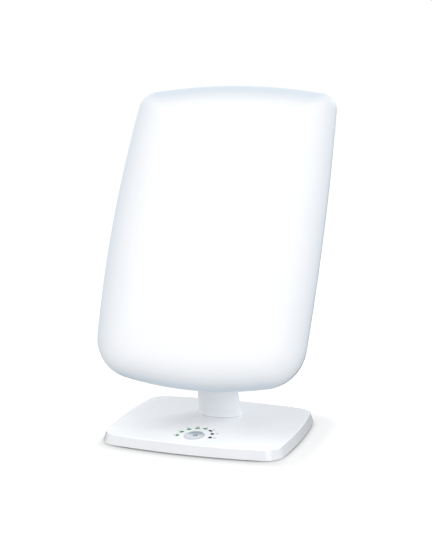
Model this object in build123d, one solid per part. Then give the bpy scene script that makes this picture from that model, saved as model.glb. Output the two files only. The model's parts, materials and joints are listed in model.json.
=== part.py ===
from build123d import *
from math import atan2, cos, degrees, hypot, radians, sin, sqrt
import os

# Free-standing light therapy lamp: a low glossy base with a timer button, a short neck that leans forward,
# and a tall opal light panel that tilts on a friction hinge behind its lower edge.
# Millimetres, +Z up, the light faces -Y. The panel's own pieces are drawn upright, in a frame with its origin
# at the middle of the rim and its front towards -Y, and then tilted into place.

# --- base -----------------------------------------------------------------------------------------------
BASE_HALF_WIDTH = 147.0        # corner to centre, on the top edge
BASE_HALF_DEPTH = 118.5
BASE_SIDE_BOW = 7.5            # how far each edge bulges past its corners
BASE_FRONT_BOW = 13.5          # front and back alike
BASE_CORNER_R = 30.0
BASE_FLARE = 5.0               # the walls lean out to the bottom
BASE_TOP = 18.0
BASE_WALL = 2.5
BASE_EDGE_R = 2.0
FOOT_HEIGHT = 1.5
FOOT_R = 8.0
FOOT_SIDE_INSET = 29.0         # feet in from the corners
FOOT_END_INSET = 26.5
PLATE_THICKNESS = 2.5
PLATE_GAP = 0.4
SKIRT_LIFT = 0.3               # the cover's skirt ends this far above the plate's underside
BASE_SCREW_SIDE_INSET = 15.0
BASE_SCREW_END_INSET = 20.5
BOSS_R = 4.0
SMALL_BOSS_R = 3.0
SCREW_R = 1.5
SCREW_HEAD_R = 2.8
SCREW_HEAD_H = 1.4
SCREW_PLAY = 0.15
SCREW_END_ROOM = 2.0           # a blind hole runs this far past its screw
SCREW_END_PROUD = 1.0          # a through screw ends this far past its last sheet
PAST = 1.0                     # a cut runs this far past the face that it opens
ON_EDGE = 0.01                 # an edge this close to a face's level lies on it

# --- counterweights -------------------------------------------------------------------------------------
WEIGHT_SIDE_INSET = 15.0       # from the base's corners
WEIGHT_FRONT_INSET = 44.5
WEIGHT_BACK_INSET = 72.5
WEIGHT_FOOT_GAP = 6.0          # beside the neck's steel foot
WEIGHT_HEADROOM = 2.5          # under the cover
WEIGHT_CORNER_R = 6.0

# --- button and timer lights ----------------------------------------------------------------------------
BUTTON_INSET = 46.0            # button's centre behind the base's front edge
BUTTON_HALF_WIDTH = 14.6
BUTTON_HALF_DEPTH = 20.5
BUTTON_GAP = 0.3
BUTTON_PROUD = 1.0
BUTTON_FLANGE = 1.8
BUTTON_FLANGE_H = 1.4
BUTTON_TRAVEL = 0.6
BUTTON_SEAT_GAP = 0.3
BUTTON_DISH = 1.3
BUTTON_EDGE_R = 0.6
LIGHT_COUNT = 8
LIGHT_RING_SIDE_GAP = 13.2      # from the button's side to the middle of the ring of lights
LIGHT_RING_BACK_GAP = 20.5
LIGHT_FIRST_ANGLE = 189.0
LIGHT_STEP_ANGLE = 27.4
LIGHT_LENGTH = 7.0
LIGHT_WIDTH = 2.6
LIGHT_GAP = 0.1
LIGHT_LIP = 0.9
LIGHT_LIP_H = 1.2
LED_LENGTH = 3.2
LED_WIDTH = 1.6
LED_HEIGHT = 0.8
BOARD_THICKNESS = 1.6
DISPLAY_SIDE_MARGIN = 12.5     # board past the ring of lights
DISPLAY_BACK_MARGIN = 7.0
DISPLAY_FRONT = 16.0           # board in front of the button's centre
DISPLAY_SCREW_INSET = 5.0
DISPLAY_SCREW_REACH = 3.0
SWITCH_SIZE = 6.0
SWITCH_HEIGHT = 1.7
SWITCH_FLOOR = 0.5
SWITCH_FLOOR_GAP = 0.1
SWITCH_OVERTRAVEL = 0.2
PLUNGER_R = 1.7
PLUNGER_PLAY = 0.1

# --- power board ----------------------------------------------------------------------------------------
POWER_BOARD_WIDTH = 84.0
POWER_BOARD_DEPTH = 40.0
POWER_BOARD_GAP = 11.0         # in front of the neck's steel foot
POWER_POST_H = 1.6
POWER_POST_R = 3.0
POWER_POST_INSET = 5.0
POWER_POST_STUB = 0.6
TRANSFORMER = (24.0, 20.0, 6.0)
TRANSFORMER_X = -20.0
RELAY = (19.0, 10.0, 6.0)
RELAY_X = 3.0
TERMINAL = (20.0, 9.0, 5.8)
TERMINAL_X = 24.0
BOARD_PIECE_SHIFT = 9.0        # the pieces' centres behind the board's
BOARD_PIECE_EDGE_R = 0.8

# --- mains inlet, a flat two-pin socket in the back of the base -------------------------------------------
INLET_WIDTH = 21.0
INLET_HEIGHT = 10.8
INLET_DEPTH = 20.0
INLET_MOUTH_WIDTH = 16.4
INLET_MOUTH_HEIGHT = 8.2
INLET_MOUTH_DEPTH = 13.0
INLET_PIN_R = 1.2
INLET_PIN_PITCH = 8.6
INLET_PIN_SHORT = 1.0          # pins end this far inside the mouth
INLET_PIN_TAIL = 3.0
INLET_PIN_FIT = 0.05
INLET_SET_BACK = 0.6
INLET_PLAY = 0.2

# --- neck -----------------------------------------------------------------------------------------------
NECK_FOOT_INSET = 80.0         # neck's foot in front of the base's rear edge
NECK_REACH = 46.0              # hinge axis in front of the neck's foot
NECK_EDGE_R = 4.0
NECK_HALF_WIDTH = 38.0
NECK_HALF_DEPTH = 27.0
NECK_TOP_HALF_WIDTH = 33.0
NECK_TOP_HALF_DEPTH = 21.5
NECK_COLUMN_DROP = 31.3         # top of the column below the hinge axis
NECK_WALL = 2.5
COLLAR_HEIGHT = 2.5
COLLAR_PROUD = 1.4
COLLAR_LEDGE = 4.0             # the collar reaches this far inside the neck's wall
KNUCKLE_R = 20.0
KNUCKLE_HALF_WIDTH = 20.4
KNUCKLE_ROOT_HALF_DEPTH = 16.0
KNUCKLE_ROOT_DROP = 6.0        # the knuckle's web runs this far into the column
CORE_WIDTH = 30.0
CORE_DEPTH = 14.0
CORE_WALL = 3.0
CORE_PLAY = 0.4
CORE_PASSAGE_PLAY = 6.5
CORE_FOOT_WIDTH = 96.0
CORE_FOOT_DEPTH = 54.0
CORE_FOOT_H = 3.0
CORE_SCREW_X = 38.0
CORE_SCREW_Y = 18.0
BARREL_R = 14.0
BARREL_HALF_WIDTH = 21.0

# --- hinge ----------------------------------------------------------------------------------------------
HINGE_Z = 141.3
PIN_R = 6.0
PIN_BORE_R = 3.5
PIN_FIT = 0.05
PIN_HEAD_R = 9.0
PIN_HEAD_H = 4.0
PIN_END_PROUD = 1.0
WASHER_R = 13.0
WASHER_H = 1.0
EAR_THICKNESS = 4.0
EAR_R = 17.0
EAR_SLOT_GAP = 0.4
BRACKET_HALF_WIDTH = 55.0
BRACKET_ABOVE = 54.0
BRACKET_ROOM = 16.0            # bracket above the lower end of the housing's flat back
BRACKET_THICKNESS = 3.0
BRACKET_SCREW_X = 48.0
BRACKET_SCREW_INSET = 8.0
SPRING_WASHER_R = 9.5
SPRING_WASHER_H = 1.6
NUT_R = 9.0
NUT_H = 6.0
HINGE_COVER_R = 20.0
HINGE_COVER_WIDTH = 16.0
HINGE_COVER_EDGE_R = 3.0
HINGE_POCKET_R = 12.0
HINGE_POCKET_DEPTH = 12.5

# --- panel ----------------------------------------------------------------------------------------------
TILT = 27.4                    # degrees back from upright, at rest
HINGE_RISE = 85.0              # hinge axis above the panel's lower end, along the panel
HINGE_BEHIND = 78.0            # hinge axis behind the rim
PANEL_HALF_WIDTH = 185.0
PANEL_HALF_HEIGHT = 271.0
PANEL_SIDE_BOW = 8.9
PANEL_TOP_BOW = 18.7
PANEL_BOTTOM_BOW = 26.1
PANEL_TOP_CORNER_R = 31.5
PANEL_BOTTOM_CORNER_R = 71.0
PANEL_BEND = 13.2              # the panel is curved along its height: its ends lie this far back
COVER_CROWN = 22.0             # front of the diffuser before the rim
COVER_EDGE_R = 18.0
COVER_WALL = 2.5
RIM_DEPTH = 9.0
RIM_EDGE_R = 5.0
HOUSING_WALL = 2.5
HOUSING_DEPTH = 52.0           # back of the housing behind the rim's middle
HUMP_FRONT = 5.0
HUMP_FRONT_INSET = 20.0
HUMP_BACK_INSET = 45.0
HUMP_CORNER_R = 22.0
HUMP_LOW_CORNER_R = 30.0       # at its two lower corners
HUMP_SIDE_WALL = 3.0
INNER_CORNER_R = 2.0           # smallest corner of an outline shrunk inside the panel's
COVER_BOSS_R = 4.5
COVER_BOSS_INSET = 11.0
COVER_BOSS_GAP = 0.7
COVER_BOSS_HOLE = 6.0
COVER_BOSS_FROM_SIDE = 105.0   # screws of the short edges in from the panel's sides
COVER_BOSS_FROM_END = 106.0    # outer screws of the long edges in from the panel's ends
COVER_SCREW_REACH = 5.0
PILLAR_R = 5.5
VENT_COUNT = 15
VENT_PITCH = 11.0
VENT_WIDTH = 4.0
VENT_LENGTH = 34.0
VENT_TOP_INSET = 75.0          # upper row below the panel's top corners
VENT_BRACKET_GAP = 3.0         # lower row above the hinge bracket

# --- light source ---------------------------------------------------------------------------------------
TRAY_FLOOR = 28.0              # front of the tray's floor behind the rim's middle
TRAY_SHEET = 1.2
TRAY_LIP = 6.0                 # front edge of the tray's walls behind the rim's middle
TRAY_FLOOR_INSET = 41.0
TRAY_LIP_INSET = 30.0
TRAY_POST_TOP_INSET = 63.0     # posts in from the panel's top and bottom corners
TRAY_POST_BOTTOM_INSET = 105.5
TRAY_POST_R = 4.0
TRAY_SCREW_LENGTH = 10.0
LAMP_COUNT = 4
LAMP_SIDE_INSET = 83.0         # outer lamps' centres in from the panel's sides
TUBE_R = 8.75
TUBE_HALF_PITCH = 11.2
TUBE_GLASS = 1.0
TUBE_TOP_INSET = 40.0          # lamps' upper ends below the panel's top corners
TUBE_LIFT = 3.0                # glass above the tray's floor
CAP_LENGTH = 25.0
CAP_WIDTH = 40.0
CAP_DEPTH = 20.0
CAP_CORNER_R = 6.0
CAP_PIN_COUNT = 4
CAP_PIN_R = 1.2
CAP_PIN_LENGTH = 6.5
CAP_PIN_STEP = 7.0
HOLDER_LENGTH = 13.0
HOLDER_WIDTH = 44.0
HOLDER_INSET = 42.5            # holders above the panel's bottom corners
HOLDER_PIN_PLAY = 0.15
CLIP_DROP = 63.0               # clips below the lamps' upper ends
CLIP_LENGTH = 10.0
CLIP_WALL = 2.5
CLIP_PLAY = 0.2
CLIP_ARM = 2.0                 # arms reach this far past the tubes' axes
CLIP_FLOOR = 2.0
BALLAST_SIDE_INSET = 13.0      # from the sides of the housing's flat back
BALLAST_VENT_GAP = 14.0        # above the lower vents
BALLAST_WIDTH = 48.0
BALLAST_LENGTH = 210.0
BALLAST_GAP = 2.0
BALLAST_CORNER_R = 3.0

# --- sizes that follow from the ones above ----------------------------------------------------------------
PLATE_BOTTOM = FOOT_HEIGHT
PLATE_TOP = PLATE_BOTTOM + PLATE_THICKNESS
COVER_UNDERSIDE = BASE_TOP - BASE_WALL
FOOT_X = BASE_HALF_WIDTH - FOOT_SIDE_INSET
FOOT_Y = BASE_HALF_DEPTH - FOOT_END_INSET
BASE_SCREW_X = BASE_HALF_WIDTH - BASE_SCREW_SIDE_INSET
BASE_SCREW_Y = BASE_HALF_DEPTH - BASE_SCREW_END_INSET
WEIGHT_INNER_X = CORE_FOOT_WIDTH / 2 + WEIGHT_FOOT_GAP
WEIGHT_OUTER_X = BASE_HALF_WIDTH - WEIGHT_SIDE_INSET
BUTTON_Y = BUTTON_INSET - BASE_HALF_DEPTH - BASE_FRONT_BOW
FLANGE_TOP = COVER_UNDERSIDE - BUTTON_SEAT_GAP
FLANGE_BOTTOM = FLANGE_TOP - BUTTON_FLANGE_H
RING_X = BUTTON_HALF_WIDTH + LIGHT_RING_SIDE_GAP
RING_Y = BUTTON_HALF_DEPTH + LIGHT_RING_BACK_GAP
DISPLAY_BOARD_TOP = FLANGE_BOTTOM - BUTTON_TRAVEL - SWITCH_OVERTRAVEL - SWITCH_HEIGHT
DISPLAY_HALF_WIDTH = RING_X + DISPLAY_SIDE_MARGIN
DISPLAY_HALF_DEPTH = (DISPLAY_FRONT + RING_Y + DISPLAY_BACK_MARGIN) / 2
DISPLAY_BOARD_Y = BUTTON_Y - DISPLAY_FRONT + DISPLAY_HALF_DEPTH
NECK_FOOT_Y = BASE_HALF_DEPTH + BASE_FRONT_BOW - NECK_FOOT_INSET
NECK_BOTTOM = BASE_TOP + COLLAR_HEIGHT
NECK_COLUMN_TOP = HINGE_Z - NECK_COLUMN_DROP
HINGE_Y = NECK_FOOT_Y - NECK_REACH
POWER_BOARD_TOP = PLATE_TOP + POWER_POST_H + BOARD_THICKNESS
POWER_BOARD_Y = NECK_FOOT_Y - CORE_FOOT_DEPTH / 2 - POWER_BOARD_GAP - POWER_BOARD_DEPTH / 2
BOARD_PIECE_Y = POWER_BOARD_Y + BOARD_PIECE_SHIFT
NECK_LEAN = degrees(atan2(NECK_FOOT_Y - HINGE_Y, HINGE_Z - BASE_TOP))
BEND_R = (PANEL_HALF_HEIGHT**2 + PANEL_BEND**2) / (2 * PANEL_BEND)
HINGE_BELOW = PANEL_HALF_HEIGHT - HINGE_RISE
PANEL_Y = HINGE_Y + HINGE_BELOW * sin(radians(TILT)) - HINGE_BEHIND * cos(radians(TILT))
PANEL_Z = HINGE_Z + HINGE_BELOW * cos(radians(TILT)) + HINGE_BEHIND * sin(radians(TILT))
PANEL_PLACE = Location((0, PANEL_Y, PANEL_Z), (-TILT, 0, 0))
PANEL_CORNER_X = PANEL_HALF_WIDTH - PANEL_SIDE_BOW
PANEL_TOP_CORNER_Z = PANEL_HALF_HEIGHT - PANEL_TOP_BOW
PANEL_BOTTOM_CORNER_Z = PANEL_BOTTOM_BOW - PANEL_HALF_HEIGHT
HOUSING_FLOOR = HOUSING_DEPTH - HOUSING_WALL
AXIS_Y = HINGE_BEHIND          # hinge axis in the panel's own frame
AXIS_Z = -HINGE_BELOW
EAR_INNER = BARREL_HALF_WIDTH + WASHER_H
EAR_OUTER = EAR_INNER + EAR_THICKNESS
PIN_END = EAR_OUTER + SPRING_WASHER_H + NUT_H + PIN_END_PROUD
BRACKET_LOW_Z = HUMP_BACK_INSET + BRACKET_ROOM - PANEL_HALF_HEIGHT
BRACKET_HIGH_Z = AXIS_Z + BRACKET_ABOVE
VENT_TOP_Z = PANEL_TOP_CORNER_Z - VENT_TOP_INSET
VENT_BOTTOM_Z = BRACKET_HIGH_Z + VENT_BRACKET_GAP + VENT_LENGTH / 2
LAMP_PITCH = 2 * (PANEL_HALF_WIDTH - LAMP_SIDE_INSET) / (LAMP_COUNT - 1)
LAMP_X = [(i - (LAMP_COUNT - 1) / 2) * LAMP_PITCH for i in range(LAMP_COUNT)]
TUBE_TOP_Z = PANEL_TOP_CORNER_Z - TUBE_TOP_INSET
TUBE_BEHIND = TRAY_FLOOR - TUBE_LIFT - TUBE_R
HOLDER_BOTTOM_Z = PANEL_BOTTOM_CORNER_Z + HOLDER_INSET
CAP_BOTTOM_Z = HOLDER_BOTTOM_Z + HOLDER_LENGTH
CAP_TOP_Z = CAP_BOTTOM_Z + CAP_LENGTH
CLIP_Z = TUBE_TOP_Z - CLIP_DROP
TRAY_POST_TOP_Z = PANEL_TOP_CORNER_Z - TRAY_POST_TOP_INSET
TRAY_POST_BOTTOM_Z = PANEL_BOTTOM_CORNER_Z + TRAY_POST_BOTTOM_INSET
BALLAST_X = PANEL_HALF_WIDTH - HUMP_BACK_INSET - BALLAST_SIDE_INSET - BALLAST_WIDTH / 2
BALLAST_Z = VENT_BOTTOM_Z + (VENT_LENGTH + BALLAST_LENGTH) / 2 + BALLAST_VENT_GAP
LIGHT_ANGLES = [LIGHT_FIRST_ANGLE - i * LIGHT_STEP_ANGLE for i in range(LIGHT_COUNT)]


# --- helpers ----------------------------------------------------------------------------------------------
def bowed_outline(half_width, half_height, side_bow, top_bow, bottom_bow, top_r, bottom_r):
    """A flat four-sided outline with bulging edges and round corners, centred on the origin."""
    top = half_height - top_bow
    bottom = bottom_bow - half_height
    corner = half_width - side_bow
    middle = (top + bottom) / 2
    face = make_face([
        ThreePointArc((-corner, top), (0, half_height), (corner, top)),
        ThreePointArc((corner, top), (half_width, middle), (corner, bottom)),
        ThreePointArc((corner, bottom), (0, -half_height), (-corner, bottom)),
        ThreePointArc((-corner, bottom), (-half_width, middle), (-corner, top)),
    ])
    face = fillet(face.vertices().sort_by(Axis.Y)[:2], bottom_r)
    return fillet(face.vertices().sort_by(Axis.Y)[-2:], top_r)


def base_outline(grow):
    """The base's outline, grown (or shrunk) by a distance all round."""
    return bowed_outline(BASE_HALF_WIDTH + BASE_SIDE_BOW + grow, BASE_HALF_DEPTH + BASE_FRONT_BOW + grow,
                         BASE_SIDE_BOW, BASE_FRONT_BOW, BASE_FRONT_BOW,
                         BASE_CORNER_R + grow, BASE_CORNER_R + grow)


def panel_outline(inset, top_r=None, bottom_r=None):
    """The panel's outline, shrunk by a distance all round, standing in the XZ plane."""
    top_r = top_r or max(PANEL_TOP_CORNER_R - inset, INNER_CORNER_R)
    bottom_r = bottom_r or max(PANEL_BOTTOM_CORNER_R - inset, INNER_CORNER_R)
    return bowed_outline(PANEL_HALF_WIDTH - inset, PANEL_HALF_HEIGHT - inset, PANEL_SIDE_BOW,
                         PANEL_TOP_BOW, PANEL_BOTTOM_BOW, top_r, bottom_r)


def slab(face, front, back):
    """A flat face in the panel's XZ plane made solid between two distances in front of the rim."""
    return extrude(Plane.XZ.offset(back) * face, front - back)


def curved_slab(face, front, back):
    """As slab, but both big faces follow the panel's curve along its height."""
    reach = PANEL_HALF_WIDTH * 3
    turned = Pos(0, BEND_R, 0) * Rot(0, 90, 0)
    straight = slab(face, front + PAST, back - PANEL_BEND * 2 - PAST)
    return (straight & turned * Cylinder(BEND_R + front, reach)) - turned * Cylinder(BEND_R + back, reach)


def bend_at(z):
    """How far the curved rim lies in front of its middle (negative: behind) at a height."""
    return sqrt(BEND_R**2 - z**2) - BEND_R


def round_slab_edge(solid, distance, radius):
    """Rounds the outer edge of a curved slab's face that lies at a distance in front of the rim."""
    edges = [e for e in solid.edges()
             if abs(-e.center().Y - bend_at(e.center().Z) - distance) < PAST]
    return fillet(edges, radius)


def rod(radius, start, end):
    """A round rod between two points."""
    start = Vector(start)
    way = Vector(end) - start
    standing = (Align.CENTER, Align.CENTER, Align.MIN)
    return Plane(origin=start, z_dir=way) * Cylinder(radius, way.length, align=standing)


def upright(radius, x, y, bottom, top):
    """A vertical rod."""
    return rod(radius, (x, y, bottom), (x, y, top))


def crossways(radius, x0, x1):
    """A rod along the hinge axis, in the standing part's frame."""
    return rod(radius, (x0, HINGE_Y, HINGE_Z), (x1, HINGE_Y, HINGE_Z))


def hinge_rod(radius, x0, x1):
    """A rod along the hinge axis, in the panel's own frame."""
    return rod(radius, (x0, AXIS_Y, AXIS_Z), (x1, AXIS_Y, AXIS_Z))


def block(x0, x1, y0, y1, z0, z1):
    """A box between two corners."""
    return Pos((x0 + x1) / 2, (y0 + y1) / 2, (z0 + z1) / 2) * Box(x1 - x0, y1 - y0, z1 - z0)


def oval(half_x, half_y, x, y, bottom, top):
    """An upright oval rod."""
    return Pos(x, y, bottom) * extrude(Ellipse(half_x, half_y), top - bottom)


def joined(pieces):
    """Separate solids that share one node, or overlapping ones made one."""
    return Part() + list(pieces)


def corners(half_x, half_y, x=0.0, y=0.0):
    """The four corners of a rectangle."""
    return [(x + sx * half_x, y + sy * half_y) for sx in (-1, 1) for sy in (-1, 1)]


def screw_up(x, y, seat, tip):
    """A pan-head screw driven upwards, its head below its seat."""
    return upright(SCREW_HEAD_R, x, y, seat - SCREW_HEAD_H, seat) + upright(SCREW_R, x, y, seat, tip)


def light_place(angle, z):
    """Where a timer light sits on its ring, turned along the ring."""
    x = RING_X * cos(radians(angle))
    y = RING_Y * sin(radians(angle))
    along = degrees(atan2(RING_Y * cos(radians(angle)), -RING_X * sin(radians(angle))))
    return Location((x, BUTTON_Y + y, z), (0, 0, along))


def neck_y(z):
    """The neck's centre line at a height."""
    return NECK_FOOT_Y + (HINGE_Y - NECK_FOOT_Y) * (z - BASE_TOP) / (HINGE_Z - BASE_TOP)


def on_hinge_line(distance):
    """A frame on the neck's centre line, below the hinge, with Z along the neck."""
    return Location((0, HINGE_Y, HINGE_Z), (NECK_LEAN, 0, 0)) * Pos(0, 0, -distance)


# --- base -------------------------------------------------------------------------------------------------
def make_base_body(shrink, bottom, top):
    """The base's outer form, or a smaller one inside it."""
    span = BASE_TOP - FOOT_HEIGHT
    low = BASE_FLARE * (BASE_TOP - bottom) / span - shrink
    high = BASE_FLARE * (BASE_TOP - top) / span - shrink
    return loft([Pos(0, 0, bottom) * base_outline(low), Pos(0, 0, top) * base_outline(high)], ruled=True)


def base_screw_spots():
    return corners(BASE_SCREW_X, BASE_SCREW_Y) + [(0.0, BASE_SCREW_Y)]


def make_base_cover():
    outer = make_base_body(0, PLATE_BOTTOM + SKIRT_LIFT, BASE_TOP)
    outer = fillet(outer.faces().sort_by(Axis.Z)[-1].edges(), BASE_EDGE_R)
    cover = outer - make_base_body(BASE_WALL, PLATE_BOTTOM - PAST, COVER_UNDERSIDE)
    for x, y in base_screw_spots():
        cover += upright(BOSS_R, x, y, PLATE_TOP, COVER_UNDERSIDE)
        cover -= upright(SCREW_R + SCREW_PLAY, x, y, PLATE_TOP - PAST, COVER_UNDERSIDE)
    for x, y in display_screw_spots():
        cover += upright(SMALL_BOSS_R, x, y, DISPLAY_BOARD_TOP, COVER_UNDERSIDE)
        cover -= upright(SCREW_R + SCREW_PLAY, x, y, DISPLAY_BOARD_TOP - PAST, COVER_UNDERSIDE)
    cover -= oval(BUTTON_HALF_WIDTH + BUTTON_GAP, BUTTON_HALF_DEPTH + BUTTON_GAP, 0, BUTTON_Y,
                  COVER_UNDERSIDE - PAST, BASE_TOP + PAST)
    for angle in LIGHT_ANGLES:
        window = extrude(SlotOverall(LIGHT_LENGTH, LIGHT_WIDTH), BASE_WALL + 2 * PAST)
        cover -= light_place(angle, COVER_UNDERSIDE - PAST) * window
    cover -= core_passage(COVER_UNDERSIDE - PAST, BASE_TOP + PAST)
    return cover - inlet_block(INLET_PLAY)


def make_base_plate():
    plate = make_base_body(BASE_WALL + PLATE_GAP, PLATE_BOTTOM, PLATE_TOP)
    for x, y in base_screw_spots() + core_screw_spots():
        plate -= upright(SCREW_HEAD_R + SCREW_PLAY, x, y, PLATE_BOTTOM, PLATE_BOTTOM + SCREW_HEAD_H)
        plate -= upright(SCREW_R + SCREW_PLAY, x, y, PLATE_BOTTOM, PLATE_TOP)
    for x, y in power_post_spots():
        plate += upright(POWER_POST_R, x, y, PLATE_TOP, PLATE_TOP + POWER_POST_H)
        plate += upright(SCREW_R, x, y, PLATE_TOP, POWER_BOARD_TOP + POWER_POST_STUB)
    return plate


def make_counterweight(side):
    left, right = sorted((side * WEIGHT_INNER_X, side * WEIGHT_OUTER_X))
    weight = block(left, right, WEIGHT_FRONT_INSET - BASE_HALF_DEPTH, BASE_HALF_DEPTH - WEIGHT_BACK_INSET,
                   PLATE_TOP, COVER_UNDERSIDE - WEIGHT_HEADROOM)
    return fillet(weight.edges().filter_by(Axis.Z), WEIGHT_CORNER_R)


def make_rubber_feet():
    return joined(upright(FOOT_R, x, y, 0, FOOT_HEIGHT) for x, y in corners(FOOT_X, FOOT_Y))


def make_base_screws():
    seat = PLATE_BOTTOM + SCREW_HEAD_H
    return joined(screw_up(x, y, seat, COVER_UNDERSIDE - SCREW_END_ROOM) for x, y in base_screw_spots())


# --- button, timer lights and their board -----------------------------------------------------------------
def display_screw_spots():
    return corners(DISPLAY_HALF_WIDTH - DISPLAY_SCREW_INSET, DISPLAY_HALF_DEPTH - DISPLAY_SCREW_INSET,
                   y=DISPLAY_BOARD_Y)


def make_display_board():
    bottom = DISPLAY_BOARD_TOP - BOARD_THICKNESS
    board = block(-DISPLAY_HALF_WIDTH, DISPLAY_HALF_WIDTH, DISPLAY_BOARD_Y - DISPLAY_HALF_DEPTH,
                  DISPLAY_BOARD_Y + DISPLAY_HALF_DEPTH, bottom, DISPLAY_BOARD_TOP)
    for x, y in display_screw_spots():
        board -= upright(SCREW_R + SCREW_PLAY, x, y, bottom, DISPLAY_BOARD_TOP)
    return board


def make_display_screws():
    seat = DISPLAY_BOARD_TOP - BOARD_THICKNESS
    tip = DISPLAY_BOARD_TOP + DISPLAY_SCREW_REACH
    return joined(screw_up(x, y, seat, tip) for x, y in display_screw_spots())


def make_timer_leds():
    led = Box(LED_LENGTH, LED_WIDTH, LED_HEIGHT, align=(Align.CENTER, Align.CENTER, Align.MIN))
    return joined(light_place(angle, DISPLAY_BOARD_TOP) * led for angle in LIGHT_ANGLES)


def make_timer_light(angle):
    """A clear guide from its LED up through the cover, held by a lip under the cover."""
    bottom = DISPLAY_BOARD_TOP + LED_HEIGHT
    stem = extrude(SlotOverall(LIGHT_LENGTH - 2 * LIGHT_GAP, LIGHT_WIDTH - 2 * LIGHT_GAP), BASE_TOP - bottom)
    lip = extrude(SlotOverall(LIGHT_LENGTH + 2 * LIGHT_LIP, LIGHT_WIDTH + 2 * LIGHT_LIP), LIGHT_LIP_H)
    return light_place(angle, bottom) * (stem + Pos(0, 0, COVER_UNDERSIDE - bottom - LIGHT_LIP_H) * lip)


def make_power_button():
    """An oval cap with a dished top and a flange that keeps it under the cover."""
    top = BASE_TOP + BUTTON_PROUD
    button = oval(BUTTON_HALF_WIDTH, BUTTON_HALF_DEPTH, 0, BUTTON_Y, FLANGE_BOTTOM, top)
    button += oval(BUTTON_HALF_WIDTH + BUTTON_FLANGE, BUTTON_HALF_DEPTH + BUTTON_FLANGE, 0, BUTTON_Y,
                   FLANGE_BOTTOM, FLANGE_TOP)
    button = fillet(button.edges().filter_by(lambda e: abs(e.center().Z - top) < ON_EDGE), BUTTON_EDGE_R)
    dish_r = (BUTTON_HALF_WIDTH**2 + BUTTON_DISH**2) / (2 * BUTTON_DISH)
    dish = scale(Sphere(dish_r), by=(1, BUTTON_HALF_DEPTH / BUTTON_HALF_WIDTH, 1))
    return button - Pos(0, BUTTON_Y, top + dish_r - BUTTON_DISH) * dish


def make_start_switch():
    half = SWITCH_SIZE / 2
    top = DISPLAY_BOARD_TOP + SWITCH_HEIGHT
    switch = block(-half, half, BUTTON_Y - half, BUTTON_Y + half, DISPLAY_BOARD_TOP, top)
    floor = DISPLAY_BOARD_TOP + SWITCH_FLOOR
    return switch - upright(PLUNGER_R + PLUNGER_PLAY, 0, BUTTON_Y, floor, top + PAST)


def make_switch_plunger():
    bottom = DISPLAY_BOARD_TOP + SWITCH_FLOOR + SWITCH_FLOOR_GAP + BUTTON_TRAVEL
    return upright(PLUNGER_R, 0, BUTTON_Y, bottom, FLANGE_BOTTOM)


# --- power board and mains inlet --------------------------------------------------------------------------
def power_post_spots():
    return corners(POWER_BOARD_WIDTH / 2 - POWER_POST_INSET, POWER_BOARD_DEPTH / 2 - POWER_POST_INSET,
                   y=POWER_BOARD_Y)


def make_power_board():
    board = block(-POWER_BOARD_WIDTH / 2, POWER_BOARD_WIDTH / 2, POWER_BOARD_Y - POWER_BOARD_DEPTH / 2,
                  POWER_BOARD_Y + POWER_BOARD_DEPTH / 2, POWER_BOARD_TOP - BOARD_THICKNESS, POWER_BOARD_TOP)
    for x, y in power_post_spots():
        board -= upright(SCREW_R + SCREW_PLAY, x, y, POWER_BOARD_TOP - BOARD_THICKNESS, POWER_BOARD_TOP)
    return board


def make_board_piece(size, x):
    """One of the power board's parts, a block of a width, depth and height."""
    width, depth, height = size
    piece = block(x - width / 2, x + width / 2, BOARD_PIECE_Y - depth / 2, BOARD_PIECE_Y + depth / 2,
                  POWER_BOARD_TOP, POWER_BOARD_TOP + height)
    return fillet(piece.edges().filter_by(Axis.Z), BOARD_PIECE_EDGE_R)


def inlet_face_y():
    """The base's back wall at the inlet's height."""
    z = PLATE_TOP + INLET_HEIGHT / 2
    lean = BASE_FLARE * (BASE_TOP - z) / (BASE_TOP - FOOT_HEIGHT)
    return BASE_HALF_DEPTH + BASE_FRONT_BOW + lean - INLET_SET_BACK


def inlet_block(grow):
    back = inlet_face_y()
    return block(-INLET_WIDTH / 2 - grow, INLET_WIDTH / 2 + grow, back - INLET_DEPTH - grow,
                 back + (INLET_DEPTH if grow else 0), PLATE_TOP - grow, PLATE_TOP + INLET_HEIGHT + grow)


def make_inlet_housing():
    back = inlet_face_y()
    middle = PLATE_TOP + INLET_HEIGHT / 2
    mouth = extrude(SlotOverall(INLET_MOUTH_WIDTH, INLET_MOUTH_HEIGHT), INLET_MOUTH_DEPTH)
    housing = inlet_block(0) - Location((0, back, middle), (90, 0, 0)) * mouth
    for side in (-1, 1):
        x = side * INLET_PIN_PITCH / 2
        housing -= rod(INLET_PIN_R + INLET_PIN_FIT, (x, back - INLET_DEPTH - PAST, middle), (x, back, middle))
    return housing


def make_inlet_pins():
    back = inlet_face_y()
    middle = PLATE_TOP + INLET_HEIGHT / 2
    tail = back - INLET_DEPTH - INLET_PIN_TAIL
    spots = [side * INLET_PIN_PITCH / 2 for side in (-1, 1)]
    return joined(rod(INLET_PIN_R, (x, tail, middle), (x, back - INLET_PIN_SHORT, middle)) for x in spots)


# --- neck -------------------------------------------------------------------------------------------------
def neck_column(shrink, bottom, top):
    """The neck's oval column between two heights, or a smaller one inside it."""
    def section(z):
        share = (z - NECK_BOTTOM) / (NECK_COLUMN_TOP - NECK_BOTTOM)
        half_x = NECK_HALF_WIDTH + (NECK_TOP_HALF_WIDTH - NECK_HALF_WIDTH) * share - shrink
        half_y = NECK_HALF_DEPTH + (NECK_TOP_HALF_DEPTH - NECK_HALF_DEPTH) * share - shrink
        return Pos(0, neck_y(z), z) * Ellipse(half_x, half_y)
    return loft([section(bottom), section(top)], ruled=True)


def core_bar(grow, length):
    """The neck's steel bar, square to the neck's centre line, down from the hinge."""
    hanging = (Align.CENTER, Align.CENTER, Align.MAX)
    return on_hinge_line(0) * Box(CORE_WIDTH + 2 * grow, CORE_DEPTH + 2 * grow, length, align=hanging)


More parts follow.
